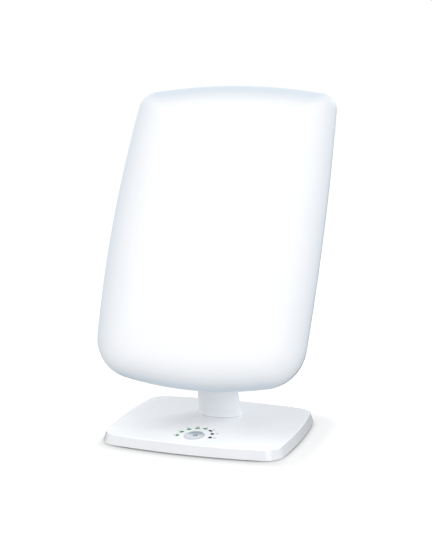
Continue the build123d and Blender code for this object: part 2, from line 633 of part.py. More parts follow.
def core_passage(bottom, top):
    """The oval hole in the cover that the steel bar rises through."""
    y = neck_y((bottom + top) / 2)
    return oval(CORE_WIDTH / 2 + CORE_PASSAGE_PLAY, CORE_DEPTH / 2 + CORE_PASSAGE_PLAY, 0, y, bottom, top)


def make_neck_shell():
    shell = neck_column(0, NECK_BOTTOM, NECK_COLUMN_TOP)
    shell = fillet(shell.faces().sort_by(Axis.Z)[-1].edges(), NECK_EDGE_R)
    root = hypot(HINGE_Z - NECK_COLUMN_TOP, neck_y(NECK_COLUMN_TOP) - HINGE_Y) + KNUCKLE_ROOT_DROP
    web = Plane.YZ * Polygon((-KNUCKLE_R, 0), (KNUCKLE_R, 0), (KNUCKLE_ROOT_HALF_DEPTH, -root),
                             (-KNUCKLE_ROOT_HALF_DEPTH, -root), align=None)
    web = extrude(web, KNUCKLE_HALF_WIDTH, both=True)
    shell += on_hinge_line(0) * web
    shell += crossways(KNUCKLE_R, -KNUCKLE_HALF_WIDTH, KNUCKLE_HALF_WIDTH)
    shell -= neck_column(NECK_WALL, NECK_BOTTOM - PAST, NECK_COLUMN_TOP - NECK_WALL)
    shell -= core_bar(CORE_PLAY, HINGE_Z)
    return shell - crossways(BARREL_R + CORE_PLAY, -KNUCKLE_HALF_WIDTH - PAST, KNUCKLE_HALF_WIDTH + PAST)


def half_neck(shell, side):
    """The front (-1) or back (+1) half of the neck's shell, parted along the neck's centre line."""
    reach = HINGE_Z * 2
    half = Box(reach, reach, reach, align=(Align.CENTER, Align.MAX if side < 0 else Align.MIN, Align.CENTER))
    return shell & on_hinge_line(0) * half


def make_neck_collar():
    y = neck_y(NECK_BOTTOM)
    outer = oval(NECK_HALF_WIDTH + COLLAR_PROUD, NECK_HALF_DEPTH + COLLAR_PROUD, 0, y, BASE_TOP, NECK_BOTTOM)
    outer = fillet(outer.faces().sort_by(Axis.Z)[-1].edges(), COLLAR_PROUD / 2)
    half_x = NECK_HALF_WIDTH - NECK_WALL - COLLAR_LEDGE
    half_y = NECK_HALF_DEPTH - NECK_WALL - COLLAR_LEDGE
    return outer - oval(half_x, half_y, 0, y, BASE_TOP - PAST, NECK_BOTTOM + PAST)


def core_screw_spots():
    return corners(CORE_SCREW_X, CORE_SCREW_Y, y=NECK_FOOT_Y)


def make_neck_core():
    """The steel column: a foot plate, a hollow bar and the hinge barrel."""
    foot_top = PLATE_TOP + CORE_FOOT_H
    reach = 2 * HINGE_Z
    bar = core_bar(0, reach) - core_bar(-CORE_WALL, reach)
    bar -= block(-CORE_FOOT_WIDTH, CORE_FOOT_WIDTH, -reach, reach, -reach, foot_top)
    foot = block(-CORE_FOOT_WIDTH / 2, CORE_FOOT_WIDTH / 2, NECK_FOOT_Y - CORE_FOOT_DEPTH / 2,
                 NECK_FOOT_Y + CORE_FOOT_DEPTH / 2, PLATE_TOP, foot_top)
    for x, y in core_screw_spots():
        foot -= upright(SCREW_R + SCREW_PLAY, x, y, PLATE_TOP, foot_top)
    core = bar + foot + crossways(BARREL_R, -BARREL_HALF_WIDTH, BARREL_HALF_WIDTH)
    return core - crossways(PIN_R + PIN_FIT, -BARREL_HALF_WIDTH - PAST, BARREL_HALF_WIDTH + PAST)


def make_neck_screws():
    seat = PLATE_BOTTOM + SCREW_HEAD_H
    tip = PLATE_TOP + CORE_FOOT_H + SCREW_END_PROUD
    return joined(screw_up(x, y, seat, tip) for x, y in core_screw_spots())


# --- hinge, drawn in the panel's own frame ----------------------------------------------------------------
def ear_form(grow, side):
    """One ear of the bracket: a straight strap with a round end about the hinge axis."""
    near = side * (EAR_INNER - grow)
    far = side * (EAR_OUTER + grow)
    reach = EAR_R + grow
    strap = block(min(near, far), max(near, far), HOUSING_FLOOR - BRACKET_THICKNESS, AXIS_Y,
                  AXIS_Z - reach, AXIS_Z + reach)
    return strap + hinge_rod(reach, near, far)


def bracket_screw_spots():
    low = BRACKET_LOW_Z + BRACKET_SCREW_INSET
    high = BRACKET_HIGH_Z - BRACKET_SCREW_INSET
    return [(side * BRACKET_SCREW_X, z) for side in (-1, 1) for z in (low, high)]


def make_hinge_bracket():
    front = HOUSING_FLOOR - BRACKET_THICKNESS
    bracket = block(-BRACKET_HALF_WIDTH, BRACKET_HALF_WIDTH, front, HOUSING_FLOOR,
                    BRACKET_LOW_Z, BRACKET_HIGH_Z)
    for x, z in bracket_screw_spots():
        bracket -= rod(SCREW_R + SCREW_PLAY, (x, front - PAST, z), (x, HOUSING_FLOOR + PAST, z))
    for side in (-1, 1):
        bracket += ear_form(0, side)
    return bracket - hinge_rod(PIN_R + PIN_FIT, -EAR_OUTER - PAST, EAR_OUTER + PAST)


def make_bracket_screws():
    tip = HOUSING_FLOOR - BRACKET_THICKNESS - SCREW_END_PROUD
    return joined(rod(SCREW_R, (x, tip, z), (x, HOUSING_DEPTH, z))
                  + rod(SCREW_HEAD_R, (x, HOUSING_DEPTH, z), (x, HOUSING_DEPTH + SCREW_HEAD_H, z))
                  for x, z in bracket_screw_spots())


def make_hinge_pin():
    head_end = -EAR_OUTER - PIN_HEAD_H
    pin = hinge_rod(PIN_R, -EAR_OUTER, PIN_END) + hinge_rod(PIN_HEAD_R, head_end, -EAR_OUTER)
    return pin - hinge_rod(PIN_BORE_R, head_end - PAST, PIN_END + PAST)


def ring(outer_r, x0, x1):
    return hinge_rod(outer_r, x0, x1) - hinge_rod(PIN_R + PIN_FIT, x0 - PAST, x1 + PAST)


def make_friction_washers():
    gaps = ((-EAR_INNER, -BARREL_HALF_WIDTH), (BARREL_HALF_WIDTH, EAR_INNER))
    return joined(ring(WASHER_R, x0, x1) for x0, x1 in gaps)


def make_hinge_nut():
    start = EAR_OUTER + SPRING_WASHER_H
    hexagon = Location((start, AXIS_Y, AXIS_Z), (0, 90, 0)) * extrude(RegularPolygon(NUT_R, 6), NUT_H)
    return hexagon - hinge_rod(PIN_R + PIN_FIT, start - PAST, start + NUT_H + PAST)


def make_hinge_cover(side):
    """A white cap over one end of the hinge, standing on the back of the housing."""
    near = side * EAR_OUTER
    far = side * (EAR_OUTER + HINGE_COVER_WIDTH)
    cap = block(min(near, far), max(near, far), HOUSING_DEPTH, AXIS_Y, AXIS_Z - HINGE_COVER_R,
                AXIS_Z + HINGE_COVER_R) + hinge_rod(HINGE_COVER_R, near, far)
    rim = [e for e in cap.edges()
           if abs(e.center().X - far) < ON_EDGE and e.center().Y > HOUSING_DEPTH + PAST]
    cap = fillet(rim, HINGE_COVER_EDGE_R)
    return cap - hinge_rod(HINGE_POCKET_R, near, near + side * HINGE_POCKET_DEPTH)


# --- panel ------------------------------------------------------------------------------------------------
def side_x(z, inset):
    """Half the panel's width at a height, less an inset."""
    middle = (PANEL_TOP_CORNER_Z + PANEL_BOTTOM_CORNER_Z) / 2
    half_chord = (PANEL_TOP_CORNER_Z - PANEL_BOTTOM_CORNER_Z) / 2
    return PANEL_HALF_WIDTH - PANEL_SIDE_BOW * ((z - middle) / half_chord) ** 2 - inset


def end_z(x, bow, inset):
    """The panel's top (or bottom) edge at a distance from the middle, less an inset."""
    return PANEL_HALF_HEIGHT - bow * (x / PANEL_CORNER_X) ** 2 - inset


def cover_boss_spots():
    reach = PANEL_HALF_HEIGHT - COVER_BOSS_FROM_END
    spots = [(side * side_x(z, COVER_BOSS_INSET), z) for z in (-reach, 0.0, reach) for side in (-1, 1)]
    for side in (-1, 1):
        x = side * (PANEL_HALF_WIDTH - COVER_BOSS_FROM_SIDE)
        spots.append((x, end_z(x, PANEL_TOP_BOW, COVER_BOSS_INSET)))
        spots.append((x, -end_z(x, PANEL_BOTTOM_BOW, COVER_BOSS_INSET)))
    return spots


def make_diffuser_cover():
    """The opal front: a shallow bowl with wide round edges, curved along its height."""
    outer = curved_slab(panel_outline(0), COVER_CROWN, 0)
    outer = round_slab_edge(outer, COVER_CROWN, COVER_EDGE_R)
    inner = curved_slab(panel_outline(COVER_WALL), COVER_CROWN - COVER_WALL, -PAST)
    inner = round_slab_edge(inner, COVER_CROWN - COVER_WALL, COVER_EDGE_R - COVER_WALL)
    cover = outer - inner
    for x, z in cover_boss_spots():
        foot = bend_at(z) + COVER_BOSS_GAP
        cover += rod(COVER_BOSS_R, (x, -foot, z), (x, -COVER_CROWN, z)) & outer
        cover -= rod(SCREW_R + SCREW_PLAY, (x, -foot + PAST, z), (x, -foot - COVER_BOSS_HOLE, z))
    return cover


def hump(front, back, shrink):
    """The deep middle of the rear housing, tapering to its flat back, or a smaller one inside it."""
    wide = Plane.XZ.offset(front) * panel_outline(HUMP_FRONT_INSET + shrink, HUMP_CORNER_R, HUMP_LOW_CORNER_R)
    narrow = Plane.XZ.offset(back) * panel_outline(HUMP_BACK_INSET + shrink, HUMP_CORNER_R, HUMP_LOW_CORNER_R)
    return loft([wide, narrow], ruled=True)


def vent_row(z):
    outline = Plane.XZ * SlotOverall(VENT_LENGTH, VENT_WIDTH, rotation=90)
    slot = extrude(outline, HOUSING_WALL + PAST, both=True)
    first = -(VENT_COUNT - 1) / 2 * VENT_PITCH
    return [Pos(first + i * VENT_PITCH, HOUSING_DEPTH, z) * slot for i in range(VENT_COUNT)]


def make_rear_housing():
    """The white back: a curved rim tray with a deep tapered middle, screw pillars and vents."""
    rim = curved_slab(panel_outline(0), 0, -RIM_DEPTH)
    rim = round_slab_edge(rim, -RIM_DEPTH, RIM_EDGE_R)
    shell = rim + hump(-HUMP_FRONT, -HOUSING_DEPTH, 0)
    shell -= curved_slab(panel_outline(HOUSING_WALL), COVER_CROWN, -RIM_DEPTH + HOUSING_WALL)
    shell -= hump(-HUMP_FRONT + HOUSING_WALL, -HOUSING_FLOOR, HUMP_SIDE_WALL)
    for x, z in cover_boss_spots():
        rim_y = -bend_at(z)
        rear_y = rim_y + RIM_DEPTH
        shell += rod(PILLAR_R, (x, rear_y - PAST, z), (x, rim_y + COVER_BOSS_GAP, z))
        shell -= rod(SCREW_R + SCREW_PLAY, (x, rear_y + PAST, z), (x, rim_y - PAST, z))
        shell -= rod(SCREW_HEAD_R + SCREW_PLAY, (x, rear_y + PAST, z), (x, rear_y - SCREW_HEAD_H, z))
    for x, z in tray_post_spots():
        shell += rod(TRAY_POST_R, (x, HOUSING_FLOOR + PAST, z), (x, TRAY_FLOOR + TRAY_SHEET, z))
        shell -= rod(SCREW_R + SCREW_PLAY, (x, HOUSING_FLOOR, z), (x, TRAY_FLOOR, z))
    for x, z in bracket_screw_spots():
        shell -= rod(SCREW_R + SCREW_PLAY, (x, HOUSING_FLOOR - PAST, z), (x, HOUSING_DEPTH + PAST, z))
    for side in (-1, 1):
        shell -= ear_form(EAR_SLOT_GAP, side)
    for slot in vent_row(VENT_TOP_Z) + vent_row(VENT_BOTTOM_Z):
        shell -= slot
    return shell


def make_cover_screws():
    screws = []
    for x, z in cover_boss_spots():
        seat = bend_at(z) - RIM_DEPTH + SCREW_HEAD_H
        screws.append(rod(SCREW_HEAD_R, (x, -seat + SCREW_HEAD_H, z), (x, -seat, z))
                      + rod(SCREW_R, (x, -seat, z), (x, -bend_at(z) - COVER_SCREW_REACH, z)))
    return joined(screws)


# --- light source -----------------------------------------------------------------------------------------
def tray_post_spots():
    """The tray is held between the lamps, at its top, middle and bottom."""
    rows = (TRAY_POST_BOTTOM_Z, (TRAY_POST_BOTTOM_Z + TRAY_POST_TOP_Z) / 2, TRAY_POST_TOP_Z)
    return [(side * LAMP_PITCH, z) for side in (-1, 1) for z in rows]


def make_reflector_tray():
    def bowl(sheet):
        floor = Plane.XZ.offset(-TRAY_FLOOR - TRAY_SHEET + sheet)
        lip = Plane.XZ.offset(-TRAY_LIP + sheet)
        return loft([floor * panel_outline(TRAY_FLOOR_INSET + sheet, HUMP_CORNER_R, HUMP_CORNER_R),
                     lip * panel_outline(TRAY_LIP_INSET + sheet, HUMP_CORNER_R, HUMP_CORNER_R)], ruled=True)
    tray = bowl(0) - bowl(TRAY_SHEET)
    for x, z in tray_post_spots():
        tray -= rod(SCREW_R + SCREW_PLAY, (x, TRAY_FLOOR - PAST, z), (x, TRAY_FLOOR + TRAY_SHEET + PAST, z))
    return tray


def make_tray_screws():
    return joined(rod(SCREW_HEAD_R, (x, TRAY_FLOOR - SCREW_HEAD_H, z), (x, TRAY_FLOOR, z))
                  + rod(SCREW_R, (x, TRAY_FLOOR, z), (x, TRAY_FLOOR + TRAY_SCREW_LENGTH, z))
                  for x, z in tray_post_spots())


def make_lamp_tube(x):
    """Two glass tubes side by side, joined near their closed top ends."""
    top = TUBE_TOP_Z - TUBE_R
    glass = None
    for side in (-1, 1):
        centre = x + side * TUBE_HALF_PITCH
        tube = rod(TUBE_R, (centre, TUBE_BEHIND, CAP_TOP_Z), (centre, TUBE_BEHIND, top))
        tube += Pos(centre, TUBE_BEHIND, top) * Sphere(TUBE_R)
        hollow = rod(TUBE_R - TUBE_GLASS, (centre, TUBE_BEHIND, CAP_TOP_Z - PAST), (centre, TUBE_BEHIND, top))
        tube -= hollow
        glass = tube if glass is None else glass + tube
    half = TUBE_HALF_PITCH - TUBE_R + TUBE_GLASS
    level = top - 2 * TUBE_R
    return glass + rod(TUBE_R / 2, (x - half, TUBE_BEHIND, level), (x + half, TUBE_BEHIND, level))


def cap_pin_spots(x):
    return [x + (i - (CAP_PIN_COUNT - 1) / 2) * CAP_PIN_STEP for i in range(CAP_PIN_COUNT)]


def make_lamp_cap(x):
    cap = block(x - CAP_WIDTH / 2, x + CAP_WIDTH / 2,
                TUBE_BEHIND - CAP_DEPTH / 2, TUBE_BEHIND + CAP_DEPTH / 2, CAP_BOTTOM_Z, CAP_TOP_Z)
    cap = fillet(cap.edges().filter_by(Axis.Z), CAP_CORNER_R)
    tip = CAP_BOTTOM_Z - CAP_PIN_LENGTH
    for pin_x in cap_pin_spots(x):
        cap += rod(CAP_PIN_R, (pin_x, TUBE_BEHIND, tip), (pin_x, TUBE_BEHIND, CAP_BOTTOM_Z))
    return cap


def make_lamp_holder(x):
    """The socket that the lamp's four pins plug into, standing on the tray."""
    holder = block(x - HOLDER_WIDTH / 2, x + HOLDER_WIDTH / 2, TUBE_BEHIND - CAP_DEPTH / 2, TRAY_FLOOR,
                   HOLDER_BOTTOM_Z, CAP_BOTTOM_Z)
    hole_r = CAP_PIN_R + HOLDER_PIN_PLAY
    deep = CAP_BOTTOM_Z - CAP_PIN_LENGTH - PAST
    for pin_x in cap_pin_spots(x):
        holder -= rod(hole_r, (pin_x, TUBE_BEHIND, deep), (pin_x, TUBE_BEHIND, CAP_BOTTOM_Z + PAST))
    return holder


def make_lamp_clips():
    clips = []
    half = TUBE_HALF_PITCH + TUBE_R + CLIP_PLAY + CLIP_WALL
    front = TUBE_BEHIND - CLIP_ARM
    for x in LAMP_X:
        clip = block(x - half, x + half, front, TRAY_FLOOR,
                     CLIP_Z - CLIP_LENGTH / 2, CLIP_Z + CLIP_LENGTH / 2)
        clip -= block(x - TUBE_HALF_PITCH, x + TUBE_HALF_PITCH, front - PAST, TRAY_FLOOR - CLIP_FLOOR,
                      CLIP_Z - CLIP_LENGTH, CLIP_Z + CLIP_LENGTH)
        for side in (-1, 1):
            centre = x + side * TUBE_HALF_PITCH
            clip -= rod(TUBE_R + CLIP_PLAY, (centre, TUBE_BEHIND, CLIP_Z - CLIP_LENGTH),
                        (centre, TUBE_BEHIND, CLIP_Z + CLIP_LENGTH))
        clips.append(clip)
    return joined(clips)


def make_ballast(side):
    front = TRAY_FLOOR + TRAY_SHEET + BALLAST_GAP
    x = side * BALLAST_X
    ballast = block(x - BALLAST_WIDTH / 2, x + BALLAST_WIDTH / 2, front, HOUSING_FLOOR,
                    BALLAST_Z - BALLAST_LENGTH / 2, BALLAST_Z + BALLAST_LENGTH / 2)
    return fillet(ballast.edges().filter_by(Axis.Y), BALLAST_CORNER_R)


# --- the whole lamp ---------------------------------------------------------------------------------------
def base_pieces():
    """The standing part, and the button that moves in it."""
    shell = make_neck_shell()
    pieces = {
        "base_cover": make_base_cover(),
        "base_plate": make_base_plate(),
        "rubber_feet": make_rubber_feet(),
        "base_screws": make_base_screws(),
        "counterweight_left": make_counterweight(-1),
        "counterweight_right": make_counterweight(1),
        "neck_shell_front": half_neck(shell, -1),
        "neck_shell_back": half_neck(shell, 1),
        "neck_collar": make_neck_collar(),
        "neck_core": make_neck_core(),
        "neck_screws": make_neck_screws(),
        "display_board": make_display_board(),
        "display_screws": make_display_screws(),
        "timer_leds": make_timer_leds(),
        "start_switch": make_start_switch(),
        "power_board": make_power_board(),
        "transformer": make_board_piece(TRANSFORMER, TRANSFORMER_X),
        "relay": make_board_piece(RELAY, RELAY_X),
        "terminal_block": make_board_piece(TERMINAL, TERMINAL_X),
        "inlet_housing": make_inlet_housing(),
        "inlet_pins": make_inlet_pins(),
        "power_button": make_power_button(),
        "switch_plunger": make_switch_plunger(),
    }
    for number, angle in enumerate(LIGHT_ANGLES, 1):
        pieces[f"timer_light_{number}"] = make_timer_light(angle)
    return pieces


def head_pieces():
    """The light panel, upright in its own frame."""
    pieces = {
        "diffuser_cover": make_diffuser_cover(),
        "rear_housing": make_rear_housing(),
        "cover_screws": make_cover_screws(),
        "reflector_tray": make_reflector_tray(),
        "tray_screws": make_tray_screws(),
        "lamp_clips": make_lamp_clips(),
        "ballast_left": make_ballast(-1),
        "ballast_right": make_ballast(1),
        "hinge_bracket": make_hinge_bracket(),
        "bracket_screws": make_bracket_screws(),
        "hinge_pin": make_hinge_pin(),
        "friction_washers": make_friction_washers(),
        "spring_washer": ring(SPRING_WASHER_R, EAR_OUTER, EAR_OUTER + SPRING_WASHER_H),
        "hinge_nut": make_hinge_nut(),
        "hinge_cover_left": make_hinge_cover(-1),
        "hinge_cover_right": make_hinge_cover(1),
    }
    for number, x in enumerate(LAMP_X, 1):
        pieces[f"lamp_tube_{number}"] = make_lamp_tube(x)
        pieces[f"lamp_cap_{number}"] = make_lamp_cap(x)
        pieces[f"lamp_holder_{number}"] = make_lamp_holder(x)
    return pieces


def build():
    """Every piece in one frame: centre of the floor under the lamp's bounding box."""
    pieces = base_pieces()
    pieces.update({name: PANEL_PLACE * piece for name, piece in head_pieces().items()})
    boxes = [piece.bounding_box() for piece in pieces.values()]
    middle_y = (min(b.min.Y for b in boxes) + max(b.max.Y for b in boxes)) / 2
    print("middle_y", round(middle_y, 4), "pieces", len(pieces))
    return {name: Pos(0, -middle_y, 0) * piece for name, piece in pieces.items()}


os.makedirs("parts", exist_ok=True)
for node, shape in build().items():
    export_step(shape, f"parts/{node}.step")
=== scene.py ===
# %% [markdown]
# # A light therapy lamp, dressed in Blender
# The lamp's construction comes from a CAD model that already has every piece at its real size. This file
# keeps that model as a fixed frame and gives it its looks: finishes, soft mouldings, screws, printed marks
# and light. Each text cell says what a piece is and why it is made the way that the code cell after it
# makes it.

# %% Load the frame
import json
from math import atan2, cos, exp, pi, radians, sin, sqrt

import bmesh
import bpy
import numpy as np
from mathutils import Matrix, Vector
from mathutils.bvhtree import BVHTree


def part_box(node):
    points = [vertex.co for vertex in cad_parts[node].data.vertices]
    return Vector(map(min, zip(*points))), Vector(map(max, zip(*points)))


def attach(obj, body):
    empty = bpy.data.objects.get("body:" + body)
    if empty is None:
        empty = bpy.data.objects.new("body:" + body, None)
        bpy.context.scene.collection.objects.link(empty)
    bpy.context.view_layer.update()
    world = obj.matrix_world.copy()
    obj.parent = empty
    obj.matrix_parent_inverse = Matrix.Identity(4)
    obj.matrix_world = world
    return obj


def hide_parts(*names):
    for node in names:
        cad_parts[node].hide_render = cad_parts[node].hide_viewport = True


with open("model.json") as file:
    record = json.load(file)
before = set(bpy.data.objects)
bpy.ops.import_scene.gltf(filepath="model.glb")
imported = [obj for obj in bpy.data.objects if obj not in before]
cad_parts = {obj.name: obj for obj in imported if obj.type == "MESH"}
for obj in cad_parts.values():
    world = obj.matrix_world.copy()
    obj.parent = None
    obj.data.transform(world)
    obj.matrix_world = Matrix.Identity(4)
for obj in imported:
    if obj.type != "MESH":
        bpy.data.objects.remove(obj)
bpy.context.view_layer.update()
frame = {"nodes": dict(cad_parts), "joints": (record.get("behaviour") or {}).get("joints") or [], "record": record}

MM = 0.001
SAME_POINT = 1e-6                 # metres: points this close are one
nodes = frame["nodes"]
slot_of = {part["node"]: part["material_slot"] for part in frame["record"]["subparts"]}
print(len(nodes), "CAD pieces use", len(set(slot_of.values())), "finishes")

# %% [markdown]
# ## The camera
# A camera is a place, a direction and a lens. The direction is written as two angles: how far round the
# lamp the camera stands, and how far it looks down. A long lens keeps the panel's sides nearly parallel, as
# in a catalogue.

# %% Set up the camera
CAMERA_TURN = radians(18.27)      # round the lamp, to its right
CAMERA_DIP = radians(9.78)        # looking down
CAMERA_PLACE = Vector((0.6202, -1.8694, 0.6149))
LENS = 79.4                       # millimetres
SENSOR = 36.0                     # millimetres along the longer side of the camera's sensor


def in_scene(name, data):
    """A new object for this data, in the scene."""
    made = bpy.data.objects.new(name, data)
    bpy.context.scene.collection.objects.link(made)
    return made


camera_data = bpy.data.cameras.new("camera")
camera_data.lens = LENS
camera_data.sensor_width = SENSOR
camera = in_scene("camera", camera_data)
look = Vector((-sin(CAMERA_TURN) * cos(CAMERA_DIP), cos(CAMERA_TURN) * cos(CAMERA_DIP), -sin(CAMERA_DIP)))
camera.location = CAMERA_PLACE
camera.rotation_euler = look.to_track_quat("-Z", "Y").to_euler()
bpy.context.scene.camera = camera
print("camera looks along", [round(x, 3) for x in look])

# %% [markdown]
# ## The studio
# The lamp stands on white paper. Its light comes from a dim sky, a little brighter high up, and from soft
# boxes: lamps behind a square of white cloth. A sky alone would be too even, so two wide soft spots on it,
# one at each side, give the lamp's sides a tone of their own. Past the paper's edge there is plain white,
# as a backdrop has.

# %% Make a mesh object from points and faces
def mesh_object(name, points, faces, smooth=True):
    """A new object at the origin with this mesh."""
    mesh = bpy.data.meshes.new(name)
    mesh.from_pydata([tuple(p) for p in points], [], faces)
    mesh.validate()
    mesh.polygons.foreach_set("use_smooth", [smooth] * len(mesh.polygons))
    return in_scene(name, mesh)

# %% Build the floor
FLOOR_RADIUS = 9.0
FLOOR_SIDES = 96

rim = [(FLOOR_RADIUS * cos(2 * pi * i / FLOOR_SIDES), FLOOR_RADIUS * sin(2 * pi * i / FLOOR_SIDES), 0.0)
       for i in range(FLOOR_SIDES)]
floor = mesh_object("studio_floor", rim, [tuple(range(FLOOR_SIDES))], smooth=False)
print("floor radius", FLOOR_RADIUS, "m")

# %% Wire nodes in short lines
VECTOR_MATH = "ShaderNodeVectorMath"


def fill(node, **settings):
    """Sets what a node's inputs, or else its own properties, are called by these keys."""
    for key, value in settings.items():
        name = key.replace("_", " ").title().replace("Ior", "IOR")
        if name in node.inputs:
            node.inputs[name].default_value = value
        else:
            setattr(node, key, value)
    return node


def add(tree, kind, **settings):
    """A new node with its settings."""
    return fill(tree.nodes.new(kind), **settings)


def wire(tree, *pairs):
    """Joins each pair of an output and an input."""
    for source, target in pairs:
        tree.links.new(source, target)


def worked(tree, operation, *values, kind="ShaderNodeMath", output=0, **settings):
    """What a Math or Vector Math node makes of these values. Each one is an output, a number or a vector."""
    node = add(tree, kind, operation=operation, **settings)
    for socket, value in zip(node.inputs, values):
        if isinstance(value, bpy.types.NodeSocket):
            tree.links.new(value, socket)
        else:
            socket.default_value = value
    return node.outputs[output]

# %% Light the sky
SKY_LOW = 0.51                    # near the horizon
SKY_HIGH = 0.71                   # and above it
SKY_CHANGE = (0.22, 0.45)         # the heights between which it changes, as sines of the angle
SKY_SPOTS = (((-1.0, 0.0, 0.25), 0.44), ((1.0, 0.0, 0.25), 0.24))   # direction and strength of each soft spot
SKY_COLOUR = (0.93, 0.965, 1.0, 1.0)
WHITE = (1.0, 1.0, 1.0, 1.0)

world = bpy.data.worlds.new("studio")
bpy.context.scene.world = world
world.use_nodes = True
tree = world.node_tree
tree.nodes.clear()
way = add(tree, "ShaderNodeTexCoord").outputs["Generated"]
height = add(tree, "ShaderNodeSeparateXYZ")
level = add(tree, "ShaderNodeMapRange", interpolation_type="SMOOTHSTEP", from_min=SKY_CHANGE[0],
            from_max=SKY_CHANGE[1], to_min=SKY_LOW, to_max=SKY_HIGH)
wire(tree, (way, height.inputs[0]), (height.outputs["Z"], level.inputs["Value"]))
total = level.outputs["Result"]
for direction, strength in SKY_SPOTS:
    towards = worked(tree, "DOT_PRODUCT", way, Vector(direction).normalized(), kind=VECTOR_MATH,
                     output="Value")
    spot = add(tree, "ShaderNodeMapRange", interpolation_type="SMOOTHSTEP", to_max=strength)
    wire(tree, (towards, spot.inputs["Value"]))
    total = worked(tree, "ADD", spot.outputs["Result"], total)
sky = add(tree, "ShaderNodeBackground", color=SKY_COLOUR)
paper = add(tree, "ShaderNodeBackground", color=WHITE)
ray = add(tree, "ShaderNodeLightPath")
choose = add(tree, "ShaderNodeMixShader")
out = add(tree, "ShaderNodeOutputWorld")
wire(tree, (total, sky.inputs["Strength"]), (ray.outputs["Is Camera Ray"], choose.inputs["Fac"]),
     (sky.outputs["Background"], choose.inputs[1]), (paper.outputs["Background"], choose.inputs[2]),
     (choose.outputs["Shader"], out.inputs["Surface"]))
bpy.context.scene.view_settings.view_transform = "Standard"
print("sky:", SKY_LOW, "to", SKY_HIGH, "and", len(SKY_SPOTS), "soft spots")

# %% Hang the soft boxes
BOX_AWAY = 2.6                    # metres from the lamp
SOFT_BOXES = (                    # name, degrees to the right, degrees up, watts, metres wide, colour
    ("high_front_box", -5.0, 50.0, 9.5, 1.2, (1.0, 0.985, 0.96)),
    ("top_box", -12.0, 75.0, 8.5, 1.2, (1.0, 0.985, 0.96)),
    ("small_front_box", -5.0, 30.0, 6.6, 0.5, (1.0, 0.985, 0.96)),
    ("low_right_box", 45.0, 15.0, 10.5, 1.2, (0.88, 0.96, 1.06)),
    ("back_box", 140.0, 40.0, 18.0, 1.2, (0.93, 0.98, 1.04)),
)

for name, turn, rise, power, size, colour in SOFT_BOXES:
    turn, rise = radians(turn), radians(rise)
    cloth = bpy.data.lights.new(name, "AREA")
    cloth.size, cloth.energy, cloth.color = size, power, colour
    light = in_scene(name, cloth)
    light.location = BOX_AWAY * Vector((cos(rise) * sin(turn), -cos(rise) * cos(turn), sin(rise)))
    light.rotation_euler = light.location.to_track_quat("Z", "Y").to_euler()

# %% [markdown]
# ## Finishes
# A moulded surface is never perfectly even: its gloss changes a little from place to place and its skin has
# a fine waviness. Two small node groups hold these effects once, and each material sets its own strength.
# The groups put out plain values. The shader itself stays in each material.

# %% A group for moulded skin
GRAIN_SHARE = 0.35                # how strong the fine grain is beside the waves
SURFACE = (("Roughness", 0.0), ("Height", 0.0), ("Tone", 0.0))    # what a group gives to a material


def new_group(name, kind, inputs, outputs):
    """An empty node group. Each socket is a number with its value, or it names another kind of socket."""
    tree = bpy.data.node_groups.new(name, kind)
    for way, sockets in (("INPUT", inputs), ("OUTPUT", outputs)):
        for socket, value in sockets:
            other = value if isinstance(value, str) else None
            made = tree.interface.new_socket(socket, in_out=way, socket_type=f"NodeSocket{other or 'Float'}")
            if not other:
                made.default_value = value
    return tree, tree.nodes.new("NodeGroupInput").outputs, tree.nodes.new("NodeGroupOutput").inputs


def make_skin_group():
    """Gloss that drifts over the surface, and a fine grain as a height."""
    tree, given, result = new_group("moulded_skin", "ShaderNodeTree", (
        ("Roughness", 0.3), ("Drift", 0.05), ("Grain Scale", 900.0), ("Wave Scale", 28.0)), SURFACE)
    place = add(tree, "ShaderNodeTexCoord").outputs["Object"]
    cloud = add(tree, "ShaderNodeTexNoise", detail=3.0)
    grain = add(tree, "ShaderNodeTexNoise", detail=2.0)
    wire(tree, (place, cloud.inputs["Vector"]), (given["Wave Scale"], cloud.inputs["Scale"]),
         (place, grain.inputs["Vector"]), (given["Grain Scale"], grain.inputs["Scale"]))
    wave = cloud.outputs["Fac"]
    drift = worked(tree, "MULTIPLY", worked(tree, "SUBTRACT", wave, 0.5), given["Drift"])
    soft = worked(tree, "MULTIPLY", grain.outputs["Fac"], GRAIN_SHARE)
    wire(tree, (worked(tree, "ADD", drift, given["Roughness"], use_clamp=True), result["Roughness"]),
         (worked(tree, "ADD", soft, wave), result["Height"]), (wave, result["Tone"]))
    return tree


skin = make_skin_group()
print("group", skin.name, "gives", [s.name for s in skin.interface.items_tree if s.in_out == "OUTPUT"])

# %% A group for drawn and plated metal
PLATING_SCALE = 120.0
PLATING_SPREAD = 0.22             # how much rougher the cloudy plating makes the metal


def make_metal_group():
    """Fine lines along one direction, with a cloudy plating over them."""
    tree, given, result = new_group("plated_metal", "ShaderNodeTree", (
        ("Roughness", 0.35), ("Line Scale", 400.0), ("Stretch", 18.0)), SURFACE)
    place = add(tree, "ShaderNodeTexCoord").outputs["Object"]
    squeeze = add(tree, "ShaderNodeCombineXYZ", y=1.0, z=1.0)
    lines = add(tree, "ShaderNodeTexNoise", detail=2.0)
    plating = add(tree, "ShaderNodeTexNoise", scale=PLATING_SCALE, detail=4.0)
    wire(tree, (worked(tree, "DIVIDE", 1.0, given["Stretch"]), squeeze.inputs["X"]),
         (worked(tree, "MULTIPLY", place, squeeze.outputs[0], kind=VECTOR_MATH), lines.inputs["Vector"]),
         (given["Line Scale"], lines.inputs["Scale"]), (place, plating.inputs["Vector"]),
         (worked(tree, "MULTIPLY_ADD", plating.outputs["Fac"], PLATING_SPREAD, given["Roughness"]),
          result["Roughness"]),
         (lines.outputs["Fac"], result["Height"]), (plating.outputs["Fac"], result["Tone"]))
    return tree


metal = make_metal_group()
print("group", metal.name, "is ready")

